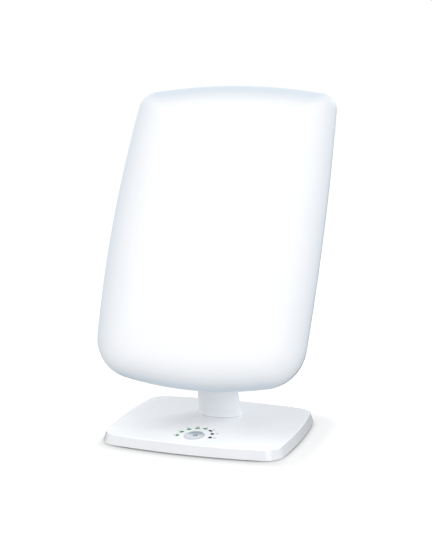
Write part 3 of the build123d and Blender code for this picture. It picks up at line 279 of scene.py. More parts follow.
# %% A plain material to start from
TONE_SPAN = (0.3, 0.7)            # most of a noise lies between these values
finishes = {}


def start_material(name, group, bump, distance, **values):
    """Adds a finish with a group's gloss and bump. Returns its tree, its shader and the group's tone."""
    finishes[name] = bpy.data.materials.new(name)
    finishes[name].use_nodes = True
    tree = finishes[name].node_tree
    shader = tree.nodes["Principled BSDF"]
    surface = add(tree, "ShaderNodeGroup", node_tree=group, **values)
    relief = add(tree, "ShaderNodeBump", strength=bump, distance=distance)
    wire(tree, (surface.outputs["Roughness"], shader.inputs["Roughness"]),
         (surface.outputs["Height"], relief.inputs["Height"]),
         (relief.outputs["Normal"], shader.inputs["Normal"]))
    return tree, shader, surface.outputs["Tone"]


def tint(tree, value, low, high, target, span=TONE_SPAN):
    """Colours a surface from low to high by a value, over this span of it."""
    ramp = add(tree, "ShaderNodeValToRGB")
    for stop, position, colour in zip(ramp.color_ramp.elements, span, (low, high)):
        stop.position, stop.color = position, (*colour, 1.0)
    wire(tree, (value, ramp.inputs["Fac"]), (ramp.outputs["Color"], target))
    return ramp.color_ramp.elements


def dimmed(colour, share):
    """A colour with this share of its light."""
    return tuple(c * share for c in colour)


print("gloss, bump and tint are ready to use")

# %% [markdown]
# ### Plastics
# White mouldings differ mostly in gloss: the base is polished, the shells are a little softer, the under
# plate is textured. One function makes them all from a colour, a roughness and a grain.

# %% Make the moulded plastics
COAT_ROUGHNESS = 0.06


def moulded(name, colour, rough, grain=900.0, wave=28.0, bump=0.02, drift=0.05, contrast=0.02, coat=0.0):
    """A plastic, or an ink, whose tone and gloss drift a little over the surface."""
    tree, shader, tone = start_material(name, skin, bump, 1.0 * MM, roughness=rough, drift=drift,
                                        grain_scale=grain, wave_scale=wave)
    tint(tree, tone, dimmed(colour, 1 - contrast), colour, shader.inputs["Base Color"])
    fill(shader, coat_weight=coat, coat_roughness=COAT_ROUGHNESS)


moulded("base_white", (0.92, 0.912, 0.914), 0.14, bump=0.004, wave=14.0, coat=0.25)
# The neck is the base's white plastic, made brighter than the base as painted light against its shade under the
# panel.
moulded("neck_white", (0.965, 0.975, 0.985), 0.3, bump=0.012, coat=0.4)
moulded("housing_white", (0.80, 0.82, 0.84), 0.34, grain=1600.0, bump=0.03)
moulded("base_grey", (0.34, 0.36, 0.38), 0.6, grain=1400.0, bump=0.15, contrast=0.08)
moulded("rubber", (0.016, 0.016, 0.017), 0.75, grain=2200.0, bump=0.2, contrast=0.2)
moulded("black_plastic", (0.012, 0.012, 0.013), 0.42, grain=1500.0, bump=0.08, contrast=0.2)
moulded("lamp_cap_plastic", (0.78, 0.78, 0.75), 0.45, bump=0.05)
moulded("clip_plastic", (0.82, 0.82, 0.79), 0.5, bump=0.05)
moulded("ballast_case", (0.6, 0.61, 0.62), 0.5, grain=1200.0, bump=0.1)
moulded("friction_plastic", (0.7, 0.68, 0.6), 0.4, bump=0.04)
moulded("circuit_board", (0.012, 0.09, 0.035), 0.32, wave=90.0, bump=0.05, contrast=0.3)
moulded("led_body", (0.75, 0.8, 0.6), 0.25, bump=0.03)
moulded("board_plastic", (0.02, 0.13, 0.05), 0.5, bump=0.06, contrast=0.1)
moulded("transformer_core", (0.5, 0.38, 0.05), 0.35, wave=160.0, bump=0.06, contrast=0.15)
moulded("timer_light_dark", (0.014, 0.015, 0.017), 0.35, bump=0.01, contrast=0.1)
moulded("print_grey", (0.15, 0.16, 0.18), 0.5, bump=0.01)
moulded("mark_grey", (0.06, 0.075, 0.10), 0.4, bump=0.01)
print(len(finishes), "plastics and inks")

# %% [markdown]
# ### Metals and lacquer
# Screws, bracket and pin are zinc plated: grey, cloudy, with the fine lines of drawn wire. The button only
# looks like metal. It is a plastic cap under silver lacquer, smooth and half shiny, so it has the skin of a
# moulding. It is darker at the back of its dish than at the front: painted shade, which it takes from its own
# mesh.

# %% Make the metals and the lacquer
PLATING_DARK = 0.82               # the clouds on the metal keep this share of its light


def plated(name, colour, rough, metallic=1.0, lines=400.0, bump=0.06):
    """A drawn or cast metal with a cloudy surface."""
    tree, shader, tone = start_material(name, metal, bump, 0.5 * MM, roughness=rough, line_scale=lines)
    tint(tree, tone, dimmed(colour, PLATING_DARK), colour, shader.inputs["Base Color"])
    fill(shader, metallic=metallic)


def lacquered(name, back, front):
    """Silver lacquer on plastic. Its colour runs from back to front along the attribute called dish, as painted
    shade that is darker at the back.
    """
    tree, shader, _ = start_material(name, skin, bump=0.002, distance=0.5 * MM, roughness=0.28, drift=0.03)
    dish = add(tree, "ShaderNodeAttribute", attribute_name="dish")
    tint(tree, dish.outputs["Fac"], back, front, shader.inputs["Base Color"], span=(0.0, 1.0))
    fill(shader, metallic=0.3)


plated("screw_steel", (0.56, 0.56, 0.55), 0.22)
plated("bracket_steel", (0.52, 0.53, 0.54), 0.3, lines=260.0)
plated("contact_metal", (0.72, 0.68, 0.58), 0.16, lines=900.0)
plated("cast_iron", (0.1, 0.1, 0.105), 0.55, metallic=0.6, lines=150.0, bump=0.5)
plated("reflector", (0.88, 0.89, 0.9), 0.2, metallic=0.3, lines=120.0, bump=0.02)
# The back colour is painted shade: the dish is darker at its back.
lacquered("button_silver", (0.36, 0.40, 0.44), (0.78, 0.80, 0.82))
print("now", len(finishes), "finishes")

# %% [markdown]
# ### Things that glow
# A glowing surface is an ordinary one with emission on top. The timer lights are clear guides with a green
# light below, and a soft noise makes their green a little uneven. The lamps' glass is coated with white
# phosphor.

# %% Make the small lights
SKIN_DARK = 0.9                   # where the light is weaker, the skin and the light keep these shares
LIGHT_DARK = 0.85


def glowing(name, colour, light, strength, rough):
    """A surface that gives light of its own."""
    tree, shader, tone = start_material(name, skin, bump=0.01, distance=1.0 * MM, roughness=rough,
                                        wave_scale=240.0)
    tint(tree, tone, dimmed(colour, SKIN_DARK), colour, shader.inputs["Base Color"])
    tint(tree, tone, dimmed(light, LIGHT_DARK), light, shader.inputs["Emission Color"])
    fill(shader, emission_strength=strength)


glowing("timer_light_lit", (0.0, 0.08, 0.015), (0.0, 0.34, 0.07), 0.6, 0.4)
for name in ("timer_light_lit", "timer_light_dark"):
    fill(finishes[name].node_tree.nodes["Principled BSDF"], specular_ior_level=0.06)
glowing("lamp_glass", (0.9, 0.92, 0.94), (0.9, 0.95, 1.0), 1.5, 0.1)
finishes["lamp_glass"].cycles.emission_sampling = "NONE"
print("glowing finishes ready")

# %% [markdown]
# ### The opal cover
# The diffuser is a milky acrylic bowl lit from inside. Its middle is an even white. Towards the edges the
# lamps inside are further away, so the light falls off. Part of that fall-off is painted shade: how wide and
# how deep it is at each edge, and its cool colour where it is dim, stand in for how the studio light falls on
# each edge. That fall-off follows the outline, so it is stored on the mesh as an attribute called glow, and
# the material only reads it.

# %% Make the opal finish
# Colours of the cover's light by glow; the cool colours of the dim glow are painted shade.
OPAL_GLOW_AND_SHADE = ((0.60, (0.346, 0.404, 0.455)), (1.0, (0.676, 0.672, 0.682)),     # glow, colour of its light
             (0.72, (0.446, 0.478, 0.507)), (0.82, (0.530, 0.543, 0.560)))


def make_opal():
    """Milky acrylic that is lit from inside, with painted shade in its glow towards the edges."""
    tree, shader, tone = start_material("opal_diffuser", skin, bump=0.006, distance=1.0 * MM, roughness=0.34,
                                        drift=0.04, wave_scale=12.0)
    tint(tree, tone, (0.295, 0.30, 0.31), (0.305, 0.31, 0.32), shader.inputs["Base Color"])
    glow = add(tree, "ShaderNodeAttribute", attribute_name="glow")
    (first, dim), (last, bright), *between = OPAL_GLOW_AND_SHADE
    stops = tint(tree, glow.outputs["Fac"], dim, bright, shader.inputs["Emission Color"], span=(first, last))
    for position, colour in between:
        stops.new(position).color = (*colour, 1.0)
    fill(shader, emission_strength=1.0, specular_ior_level=0.15)


make_opal()
print("finishes without a material:", sorted(set(slot_of.values()) - set(finishes)))

# %% Dress every CAD piece
def give(made, finish):
    """Gives an object one material."""
    made.data.materials.clear()
    made.data.materials.append(finishes[finish])


for node, slot in slot_of.items():
    give(nodes[node], slot)
print("dressed", len(slot_of), "CAD pieces")

# %% [markdown]
# ## The panel's own frame
# The panel leans back. It is easier to draw upright, in a frame whose middle lies at the middle of the rim,
# with Z up the panel and its front towards -Y, and to lean the finished points back about the hinge.

# %% Work out the panel's frame
TILT = radians(27.4)
HINGE_BELOW = 186.0 * MM
HINGE_BEHIND = 78.0 * MM
tilt_joint = next(j for j in frame["joints"] if j["name"] == "panel_tilt")
hinge = Vector(tilt_joint["pos_m"])
panel_frame = (Matrix.Translation(hinge) @ Matrix.Rotation(-TILT, 4, "X")
               @ Matrix.Translation((0.0, -HINGE_BEHIND, HINGE_BELOW)))
print("hinge at", [round(x, 4) for x in hinge])

# %% [markdown]
# ## The outline
# The panel's outline has four bulging sides and round corners. Each side is an arc. To round a corner
# between two arcs, both are moved inwards by the radius: where they cross is the centre of the corner. The
# same rule gives the outline at any distance inside the first one, which is all that the curved edges need.

# %% Describe the outline
HALF_WIDTH = 185.0 * MM
HALF_HEIGHT = 271.0 * MM
SIDE_BOW = 8.9 * MM
TOP_BOW = 18.7 * MM
BOTTOM_BOW = 26.1 * MM
BEND = 13.2 * MM
BEND_R = (HALF_HEIGHT**2 + BEND**2) / (2 * BEND)
SIDE_POINTS = 44
CORNER_POINTS = 14


def arc_radius(half_chord, bow):
    """The radius of an arc that bulges this far over its chord."""
    return (half_chord**2 + bow**2) / (2 * bow)


def bend_at(z):
    """How far the curved panel lies in front of its middle at a height (negative: behind)."""
    return sqrt(BEND_R**2 - z**2) - BEND_R


def meet(centre_a, radius_a, centre_b, radius_b, near):
    """Where two circles cross, taking the crossing that is nearer to a point."""
    apart = centre_b - centre_a
    gap = apart.length
    along = (gap**2 + radius_a**2 - radius_b**2) / (2 * gap)
    across = sqrt(radius_a**2 - along**2)
    middle = centre_a + apart * (along / gap)
    side = Vector((-apart.y, apart.x)) / gap * across
    return min((middle + side, middle - side), key=lambda p: (p - near).length)

# %% Walk round the outline
corner_x = HALF_WIDTH - SIDE_BOW
top_z = HALF_HEIGHT - TOP_BOW
bottom_z = BOTTOM_BOW - HALF_HEIGHT
middle_z = (top_z + bottom_z) / 2
top_arc_r = arc_radius(corner_x, TOP_BOW)
bottom_arc_r = arc_radius(corner_x, BOTTOM_BOW)
side_arc_r = arc_radius((top_z - bottom_z) / 2, SIDE_BOW)
SIDES = (                         # the centre and radius of each side, and the corner that follows it
    (Vector((HALF_WIDTH - side_arc_r, middle_z)), side_arc_r, Vector((corner_x, top_z))),
    (Vector((0.0, HALF_HEIGHT - top_arc_r)), top_arc_r, Vector((-corner_x, top_z))),
    (Vector((side_arc_r - HALF_WIDTH, middle_z)), side_arc_r, Vector((-corner_x, bottom_z))),
    (Vector((0.0, bottom_arc_r - HALF_HEIGHT)), bottom_arc_r, Vector((corner_x, bottom_z))),
)


def outline(inset, top_r, bottom_r):
    """Points and outward directions round the panel, against the clock from its lower right corner."""
    following = SIDES[1:] + SIDES[:1]
    corners, points, directions = [], [], []
    for (centre, radius, spot), (next_centre, next_radius, _) in zip(SIDES, following):
        corner_r = top_r if spot.y > 0 else bottom_r
        less = inset + corner_r
        corners.append((meet(centre, radius - less, next_centre, next_radius - less, spot), corner_r))

    def sweep(centre, radius, start, end, steps, ends=True):
        """Adds an arc against the clock between two directions."""
        start, end = (atan2(way.y, way.x) for way in (start, end))
        angles = np.linspace(start, end if end >= start else end + 2 * pi, steps)
        for angle in angles if ends else angles[1:-1]:
            out = Vector((cos(angle), sin(angle)))
            points.append(centre + out * radius)
            directions.append(out)

    for place, (centre, radius, _) in enumerate(SIDES):
        corner, corner_r = corners[place]
        sweep(centre, radius - inset, corners[place - 1][0] - centre, corner - centre, SIDE_POINTS)
        sweep(corner, corner_r, corner - centre, corner - following[place][0], CORNER_POINTS + 2, ends=False)
    return points, directions


TOP_CORNER_R = 31.5 * MM
BOTTOM_CORNER_R = 71.0 * MM
rim_points = outline(0.0, TOP_CORNER_R, BOTTOM_CORNER_R)[0]
print(len(rim_points), "points round the rim; half width",
      round(max(p.x for p in rim_points) / MM, 2), "half height", round(max(p.y for p in rim_points) / MM, 2))

# %% Skin a stack of rings
def skin_rings(rings, loop=False):
    """Faces between rings with as many points each. A fan closes the last one, or it joins the first one."""
    count = len(rings[0])
    points = [p for ring in rings for p in ring]
    faces = []
    for level in range(len(rings) - (0 if loop else 1)):
        a, b = level * count, (level + 1) % len(rings) * count
        faces += [(a + i, a + (i + 1) % count, b + (i + 1) % count, b + i) for i in range(count)]
    if not loop:
        last = (len(rings) - 1) * count
        middle = sum((Vector(p) for p in rings[-1]), Vector()) / count
        points.append(middle)
        faces += [(last + i, last + (i + 1) % count, len(points) - 1) for i in range(count)]
    return points, faces

# %% [markdown]
# ## The diffuser
# The cover could be sculpted or subdivided from a box, but its form follows one rule: from the rim it rises
# in a quarter of an ellipse, 22 mm forwards over 50 mm inwards, and then it is flat but for the panel's
# long curve. So it is made of rings: each is the outline at some inset, lifted by the ellipse and bent with
# the panel.

# %% Shape the opal cover
CROWN = 22.0 * MM
BAND = 50.0 * MM
COVER_WALL = 2.5 * MM
COVER_LIP = 1.2 * MM
CORNER_LIFT = 0.27                # the lamps' ends lie near the corners and light them a little more
EDGE_RINGS = 26
FRONT_RINGS = 22
CORNER_TIGHTENS = 0.3             # for each millimetre inwards, the corners' radii shrink by this much
# The fall-off differs from edge to edge as painted shade, set to how the studio light falls on each edge.
EDGE_GLOW_AND_SHADE = (                    # towards which edge, glow at the rim, millimetres it grows over, power
    ((1.0, 0.0), 0.67, 21.6, 0.95),
    ((-1.0, 0.0), 0.66, 38.8, 1.45),
    ((0.0, 1.0), 0.57, 33.0, 2.4),
    ((0.0, -1.0), 0.56, 18.2, 1.08),
)


def glow_at(inset, direction):
    """How bright the cover is this far inside its outline: 1 in the middle, less towards each edge, partly as
    painted shade.
    """
    glow = 0.0
    for edge, rim, width, power in EDGE_GLOW_AND_SHADE:
        share = max(direction.dot(Vector(edge)), 0.0)
        glow += share**2 * (1.0 - (1.0 - rim) * exp(-((inset / (width * MM)) ** power)))
    return 1.0 - (1.0 - glow) * (1.0 - CORNER_LIFT * (2 * direction.x * direction.y) ** 2)


rings, glow_and_shade_values = [], []
for step in range(EDGE_RINGS + 1):
    angle = pi / 2 * step / EDGE_RINGS
    inset = BAND * (1 - cos(angle))
    lift = COVER_LIP + (CROWN - COVER_LIP) * sin(angle)
    radii = [radius - CORNER_TIGHTENS * inset for radius in (TOP_CORNER_R, BOTTOM_CORNER_R)]
    points, directions = outline(inset, *radii)
    if step == 0:
        rings.append([(p.x, -bend_at(p.y), p.y) for p in points])
        glow_and_shade_values += [glow_at(0.0, d) for d in directions]
    rings.append([(p.x, -bend_at(p.y) - lift, p.y) for p in points])
    glow_and_shade_values += [glow_at(inset, d) for d in directions]
inner, inner_directions = points, directions
for step in range(1, FRONT_RINGS):
    share = 1 - step / FRONT_RINGS
    ring = [Vector((p.x * share, p.y * share + middle_z * (1 - share))) for p in inner]
    rings.append([(p.x, -bend_at(p.y) - CROWN, p.y) for p in ring])
    glow_and_shade_values += [glow_at(BAND + (p - q).length, d) for p, q, d in zip(inner, ring, inner_directions)]
points, faces = skin_rings(rings)
points[-1].y = -bend_at(points[-1].z) - CROWN
glow_and_shade_values.append(1.0)
print(len(points), "points and", len(faces), "faces in the cover")

# %% Lean a panel piece back and finish it
def outward(made, fill=False):
    """Points every face of a closed mesh outwards, after closing its open end where that is asked."""
    bm = bmesh.new()
    bm.from_mesh(made.data)
    if fill:
        bmesh.ops.holes_fill(bm, edges=bm.edges)
    bmesh.ops.recalc_face_normals(bm, faces=bm.faces)
    bm.to_mesh(made.data)
    bm.free()
    return made


def finished_mesh(made):
    """The mesh that an object's modifiers, or the letters of a text, come to."""
    bpy.context.view_layer.update()
    return bpy.data.meshes.new_from_object(made.evaluated_get(bpy.context.evaluated_depsgraph_get()))


def settled(made):
    """Replaces an object's mesh by its finished one and removes the modifiers."""
    finished = finished_mesh(made)
    made.modifiers.clear()
    made.data = finished
    return made


def finish_piece(made, finish, body, *replaced, slot=None):
    """Gives a piece its material, lets it ride on a body and stand for CAD nodes. The slot is not used."""
    give(made, finish)
    slot or finish
    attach(made, body)
    if replaced:
        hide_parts(*replaced)
    print(made.name, "rides on", body, "with", len(made.data.polygons), "faces")


cover = mesh_object("opal_cover", points, faces)
glow_and_shade_mark = cover.data.attributes.new("glow", "FLOAT", "POINT")
glow_and_shade_mark.data.foreach_set("value", np.array(glow_and_shade_values, np.float32))
outward(cover)
wall = cover.modifiers.new("wall", "SOLIDIFY")
wall.thickness = COVER_WALL
wall.offset = -1.0
settled(cover)
cover.data.transform(panel_frame)
finish_piece(cover, "opal_diffuser", "head", "diffuser_cover")
low, high = (np.array(corner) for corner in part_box("diffuser_cover"))
spots = np.array([v.co for v in cover.data.vertices])
print("cover against its CAD box in mm:", np.round((spots.min(axis=0) - low) / MM, 2),
      np.round((spots.max(axis=0) - high) / MM, 2))

# %% [markdown]
# ## The ring at the neck's foot
# Where the neck meets the base, its shell flares out into a low soft ring that throws one thin shadow line.
# The neck is oval and leans forward, so the ring can't be turned on a lathe. It is a stack of ovals
# instead, each centred on the leaning neck at its own height and a little wider than the neck there.

# %% Shape the foot ring
RING_PROFILE = ((-1.5, 18.0), (1.7, 18.0), (2.2, 18.35), (2.3, 18.7), (2.0, 19.3), (1.45, 20.2), (0.97, 21.3),
                (0.58, 22.5), (0.28, 23.8), (0.08, 25.0), (0.0, 26.0), (-0.4, 26.8), (-1.5, 26.8))
COLLAR_OUTSET = 1.4 * MM          # the CAD ring stands this far round the neck
NECK_TAPER_X = 0.0559             # the neck's half-axes shrink by this share of the height
NECK_TAPER_Y = 0.0615
OVAL_POINTS = 128
RING_SHARP = radians(40)          # faces that meet at more than this keep an edge


def measured(node):
    """The box of a CAD piece: its low and high corners, its middle and half its size."""
    low, high = (Vector(corner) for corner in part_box(node))
    return low, high, (low + high) / 2, (high - low) / 2


def oval(middle_x, middle_y, half_x, half_y, height):
    """Points round a level oval."""
    turns = np.linspace(0.0, 2 * pi, OVAL_POINTS, endpoint=False)
    return [(middle_x + half_x * cos(a), middle_y + half_y * sin(a), height) for a in turns]


_, collar_high, foot, foot_half = measured("neck_collar")
foot.z = collar_high.z
lean = (hinge.y - foot.y) / (hinge.z - foot.z)


def neck_oval(outset, height):
    """Points round the neck at a height, this far outside its skin."""
    rise = height - foot.z
    half_x = foot_half.x - COLLAR_OUTSET - NECK_TAPER_X * rise + outset
    half_y = foot_half.y - COLLAR_OUTSET - NECK_TAPER_Y * rise + outset
    return oval(foot.x, foot.y + lean * rise, half_x, half_y, height)


rings = [neck_oval(outset * MM, height * MM) for outset, height in RING_PROFILE]
ring = mesh_object("neck_foot_ring", *skin_rings(rings, loop=True))
outward(ring)
ring.data.set_sharp_from_angle(angle=RING_SHARP)
finish_piece(ring, "neck_white", "base", "neck_collar")

# %% [markdown]
# ## The button
# The button is an oval cap: a narrow rounded rim, and inside it a shallow dish like a spoon's bowl. It
# could be cut out with a boolean, but rings give long clean quads: a short profile makes the rim, and ovals
# that shrink to a point make the dish. Its painted shade, darker towards the back of the dish, is stored on
# the mesh, as the cover's glow is, and the lacquer only reads it.

# %% Shape the button's cap
BUTTON_RIM = 1.6 * MM             # width of the rounded rim round the dish
BUTTON_DISH = 2.2 * MM            # depth of the dish
BUTTON_STEP = 0.25 * MM           # the dish starts this far below the rim
BUTTON_PROFILE = ((0.0, -1.6), (0.12, -0.7), (0.45, -0.15), (0.9, 0.0), (1.3, -0.1))  # millimetres in and up
BUTTON_DISH_RINGS = 18
# Painted shade on the rim and in the dish, darker towards the back:
RIM_PAINTED_SHADE = (0.26, -0.16)          # halfway along, and how it changes from there to the back edge
DISH_PAINTED_SHADE = (1.0, -1.6)
SHARP = radians(50)

button_low, button_high, button_middle, button_half = measured("power_button")


def button_ring(inset, height, left=1.0):
    """An oval this far inside the button's edge, shrunk to the part that is left."""
    half_x, half_y = ((half - inset) * left for half in button_half.xy)
    return oval(button_middle.x, button_middle.y, half_x, half_y, height)


rings = [button_ring(0.0, button_low.z)]
rings += [button_ring(i * MM, button_high.z + z * MM) for i, z in BUTTON_PROFILE]
dish_start = len(rings) * OVAL_POINTS
for step in range(BUTTON_DISH_RINGS):
    left = 1 - step / BUTTON_DISH_RINGS
    rings.append(button_ring(BUTTON_RIM, button_high.z - BUTTON_STEP - BUTTON_DISH * (1 - left**2), left))
points, faces = skin_rings(rings)
points.append(Vector((button_middle.x, button_middle.y, button_low.z)))
faces += [((i + 1) % OVAL_POINTS, i, len(points) - 1) for i in range(OVAL_POINTS)]
cap = outward(mesh_object("button_cap", points, faces))
cap.data.set_sharp_from_angle(angle=SHARP)
# Painted shade: the cap is darkened towards the back of its dish.
back = np.array([(p[1] - button_middle.y) / button_half.y for p in points])
dish_painted_shade = [level + change * back for level, change in (RIM_PAINTED_SHADE, DISH_PAINTED_SHADE)]
dish_painted_shade = np.clip(np.where(np.arange(len(points)) < dish_start, *dish_painted_shade), 0.0, 1.0)
cap.data.attributes.new("dish", "FLOAT", "POINT").data.foreach_set("value", dish_painted_shade)
finish_piece(cap, "button_silver", "button", "power_button")

# %% [markdown]
# ## The sign for power
# Real prints are films of ink a few hundredths of a millimetre thick. An image would need a texture file,
# so the sign is a very thin mesh: ribbons of quads, dropped onto the dish by casting a ray down from every
# point.

# %% Drop a flat mesh onto a surface
INK = 0.10 * MM
DROP_FROM = 50.0 * MM             # higher than the base and lower than the panel


def dropped(made, onto):
    """Moves each point down to the surface of a piece and gives the sheet a thickness."""
    surface = BVHTree.FromObject(onto, bpy.context.evaluated_depsgraph_get())
    for point in made.data.vertices:
        hit = surface.ray_cast(Vector((point.co.x, point.co.y, DROP_FROM)), Vector((0.0, 0.0, -1.0)))[0]
        point.co.z = hit.z
    film = made.modifiers.new("film", "SOLIDIFY")
    film.thickness = INK
    film.offset = 0.0
    return outward(settled(made))

# %% Draw the power sign
SIGN_HALF_X = 3.6 * MM
SIGN_HALF_Y = 4.1 * MM
SIGN_BACK = 5.0 * MM              # the sign sits this far behind the button's middle
SIGN_LINE = 0.42                  # width of its line, as a share of its half size
SIGN_BAR = (0.2, 1.1)             # the ends of its bar, as such shares above its middle
SIGN_GAP = radians(36)            # half the opening of its arc
SIGN_STEPS = 40
SIGN_BAR_STEPS = 6

arc = [[(cos(turn) * r, sin(turn) * r) for r in (1.0, 1.0 - SIGN_LINE)]
       for turn in np.linspace(pi / 2 + SIGN_GAP, 5 * pi / 2 - SIGN_GAP, SIGN_STEPS + 1)]
bar = [[(side * SIGN_LINE / 2, y) for side in (-1, 1)] for y in np.linspace(*SIGN_BAR, SIGN_BAR_STEPS + 1)]
points, faces = [], []
for ribbon in (arc, bar):
    for step, pair in enumerate(ribbon):
        points += [(button_middle.x + x * SIGN_HALF_X, button_middle.y + SIGN_BACK + y * SIGN_HALF_Y, 0.0)
                   for x, y in pair]
        if step:
            end = len(points)
            faces.append((end - 4, end - 2, end - 1, end - 3))
sign = dropped(mesh_object("power_sign", points, faces), cap)
finish_piece(sign, "mark_grey", "button", slot="black_plastic")

# %% [markdown]
# ## The timer lights
# Each light is the end of a clear guide that stands a little proud of the cover, as a flat dome with round
# ends. The CAD guides are plain prisms, so a lens takes the place of each. It gets its middle and its
# direction from the guide's own points: a singular value decomposition gives the direction in which a set
# of points is longest.

# %% Put lenses on the timer lights
LIGHTS = 8
LENS_HALF_LONG = 4.3 * MM
LENS_HALF_WIDE = 2.8 * MM
LENS_FOOT = 1.1 * MM              # below the cover's top the lens is this much smaller all round
LENS_PROFILE = ((0.0, 0.02), (0.0, 0.18), (0.25, 0.34), (0.7, 0.44), (1.3, 0.48))  # millimetres in and up
LENS_POINTS = 40
cover_top = measured("base_cover")[1].z


def lens_ring(middle, along, inset, height):
    """Points round a level oval with round ends that lies along a direction."""
    long, wide = LENS_HALF_LONG - inset, LENS_HALF_WIDE - inset
    across = np.array((-along[1], along[0]))
    ring = []
    for turn in np.linspace(0.0, 2 * pi, LENS_POINTS, endpoint=False):
        far = wide * cos(turn)
        far += (long - wide) * np.sign(round(far, 9))     # nothing is added in the middle of a long side
        ring.append((*(middle + along * far + across * wide * sin(turn)), height))
    return ring


for number in range(1, LIGHTS + 1):
    node = f"timer_light_{number}"
    flat = np.array([v.co[:2] for v in nodes[node].data.vertices])
    middle = (flat.min(axis=0) + flat.max(axis=0)) / 2
    along = np.linalg.svd(flat - flat.mean(axis=0), full_matrices=False)[2][0]
    levels = [(LENS_FOOT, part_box(node)[0][2]), (LENS_FOOT, cover_top)]
    levels += [(i * MM, cover_top + z * MM) for i, z in LENS_PROFILE]
    rings = [lens_ring(middle, along, *level) for level in levels]
    lens = mesh_object(f"timer_lens_{number}", *skin_rings(rings))
    outward(lens, fill=True).data.set_sharp_from_angle(angle=SHARP)
    finish_piece(lens, slot_of[node], "base", node)

# %% [markdown]
# ## The minutes
# Beside each light stands its number of minutes. Blender's text gives the digits as curves, which can be
# made bolder and narrower. They become meshes before they move to their places on an oval round the lights,
# and then all of them drop onto the base's curved top as one film.

# %% Print the minutes
MINUTES = (15, 30, 45, 60, 75, 90, 105, 120)
DIGIT_HEIGHT = 5.2 * MM           # the font's size: its digits are 0.73 of it high
DIGIT_NARROW = 0.72
DIGIT_BOLDER = 0.12 * MM
DIGIT_STEPS = 8                   # steps in each curve; with finer ones the bolder 6 isn't filled
LIGHTS_HALF_X = 28.0 * MM         # the oval on which the lights lie
LIGHTS_HALF_Y = 41.0 * MM
LABEL_OUT_X = 6.0 * MM            # from a light's middle to the middle of its number
LABEL_OUT_Y = 7.8 * MM
LABEL_OUT_WIDE = 1.5 * MM         # three digits stand this much further out

together = bmesh.new()
for number, minutes in enumerate(MINUTES, start=1):
    middle = measured(f"timer_light_{number}")[2]
    from_button = middle - button_middle
    out = Vector((from_button.x / LIGHTS_HALF_X, from_button.y / LIGHTS_HALF_Y)).normalized()
    out_x = LABEL_OUT_X + (LABEL_OUT_WIDE if minutes > 99 else 0.0)
    letters = bpy.data.curves.new(f"minutes_{minutes}", "FONT")
    letters.body = str(minutes)
    letters.size, letters.offset, letters.resolution_u = DIGIT_HEIGHT, DIGIT_BOLDER, DIGIT_STEPS
    letters.align_x, letters.align_y = "CENTER", "CENTER"
    drawn = in_scene(letters.name, letters)
    flat = finished_mesh(drawn)
    bpy.data.objects.remove(drawn)
    flat.transform(Matrix.Translation((middle.x + out.x * out_x, middle.y + out.y * LABEL_OUT_Y, 0.0))
                   @ Matrix.Diagonal((DIGIT_NARROW, 1.0, 1.0, 1.0)))
    together.from_mesh(flat)
bmesh.ops.remove_doubles(together, verts=together.verts, dist=SAME_POINT)
numbers = mesh_object("timer_numbers", [], [], smooth=False)
together.to_mesh(numbers.data)
together.free()
finish_piece(dropped(numbers, nodes["base_cover"]), "print_grey", "base", slot="black_plastic")

# %% [markdown]
# ## Screws and feet
# The CAD screws are plain rods with plain heads, one solid for each screw. A real pan-head screw has a
# domed head and a cross recess. All of them follow one rule, so one Geometry Nodes tree makes them: it
# turns a flat grid into a surface of revolution, cuts the cross, and puts a copy on every point, aimed
# along the point's own direction. The same turned surface, with another profile, makes the rubber feet with
# their rounded edges.

# %% Find the separate solids of a CAD node
def separate_solids(node):
    """One array of points for each separate solid of a CAD piece."""
    whole = bmesh.new()
    whole.from_mesh(nodes[node].data)
    bmesh.ops.remove_doubles(whole, verts=whole.verts, dist=SAME_POINT)
    seen, solids = set(), []
    for first in whole.verts:
        if first in seen:
            continue
        seen.add(first)
        waiting, found = [first], []
        while waiting:
            point = waiting.pop()
            found.append(tuple(point.co))
            for edge in point.link_edges:
                other = edge.other_vert(point)
                if other not in seen:
                    seen.add(other)
                    waiting.append(other)
        solids.append(np.array(found))
    whole.free()
    return solids


for node in ("rubber_feet", "base_screws"):
    print(node, "has", len(separate_solids(node)), "solids")

# %% A tree that turns a profile round an axis
SHAPE = (("Geometry", "Geometry"),)                               # what such a tree gives


def float_curve(tree, value, stops, size=1.0):
    """A share that runs along straight lines between the given stops, times a size."""
    node = add(tree, "ShaderNodeFloatCurve")
    curve = node.mapping.curves[0]
    while len(curve.points) < len(stops):
        curve.points.new(0.5, 0.5)
    for point, (x, y) in zip(curve.points, stops):
        point.location = (x, y)
        point.handle_type = "VECTOR"
    node.mapping.update()
    tree.links.new(value, node.inputs["Value"])
    return node.outputs["Value"] if size == 1.0 else worked(tree, "MULTIPLY", node.outputs["Value"], size)


def turned_surface(tree, radius_of, height_of, along_count, round_count):
    """A closed surface of revolution. Two functions give its radius and height, from 0 to 1 along it."""
    grid = add(tree, "GeometryNodeMeshGrid", size_x=1.0, size_y=1.0, vertices_x=along_count,
               vertices_y=round_count)
    apart = add(tree, "ShaderNodeSeparateXYZ")
    where = add(tree, "GeometryNodeInputPosition")
    placed = add(tree, "GeometryNodeSetPosition")
    joined = add(tree, "ShaderNodeCombineXYZ")
    closed = add(tree, "GeometryNodeMergeByDistance", distance=SAME_POINT)
    wire(tree, (where.outputs["Position"], apart.inputs[0]))
    along = worked(tree, "ADD", apart.outputs["X"], 0.5)
    turn = worked(tree, "MULTIPLY", apart.outputs["Y"], 2 * pi)
    radius = radius_of(along)
    wire(tree, (worked(tree, "MULTIPLY", radius, worked(tree, "COSINE", turn)), joined.inputs["X"]),
         (worked(tree, "MULTIPLY", radius, worked(tree, "SINE", turn)), joined.inputs["Y"]),
         (height_of(along), joined.inputs["Z"]), (grid.outputs["Mesh"], placed.inputs["Geometry"]),
         (joined.outputs["Vector"], placed.inputs["Position"]),
         (placed.outputs["Geometry"], closed.inputs["Geometry"]))
    return closed.outputs["Geometry"]


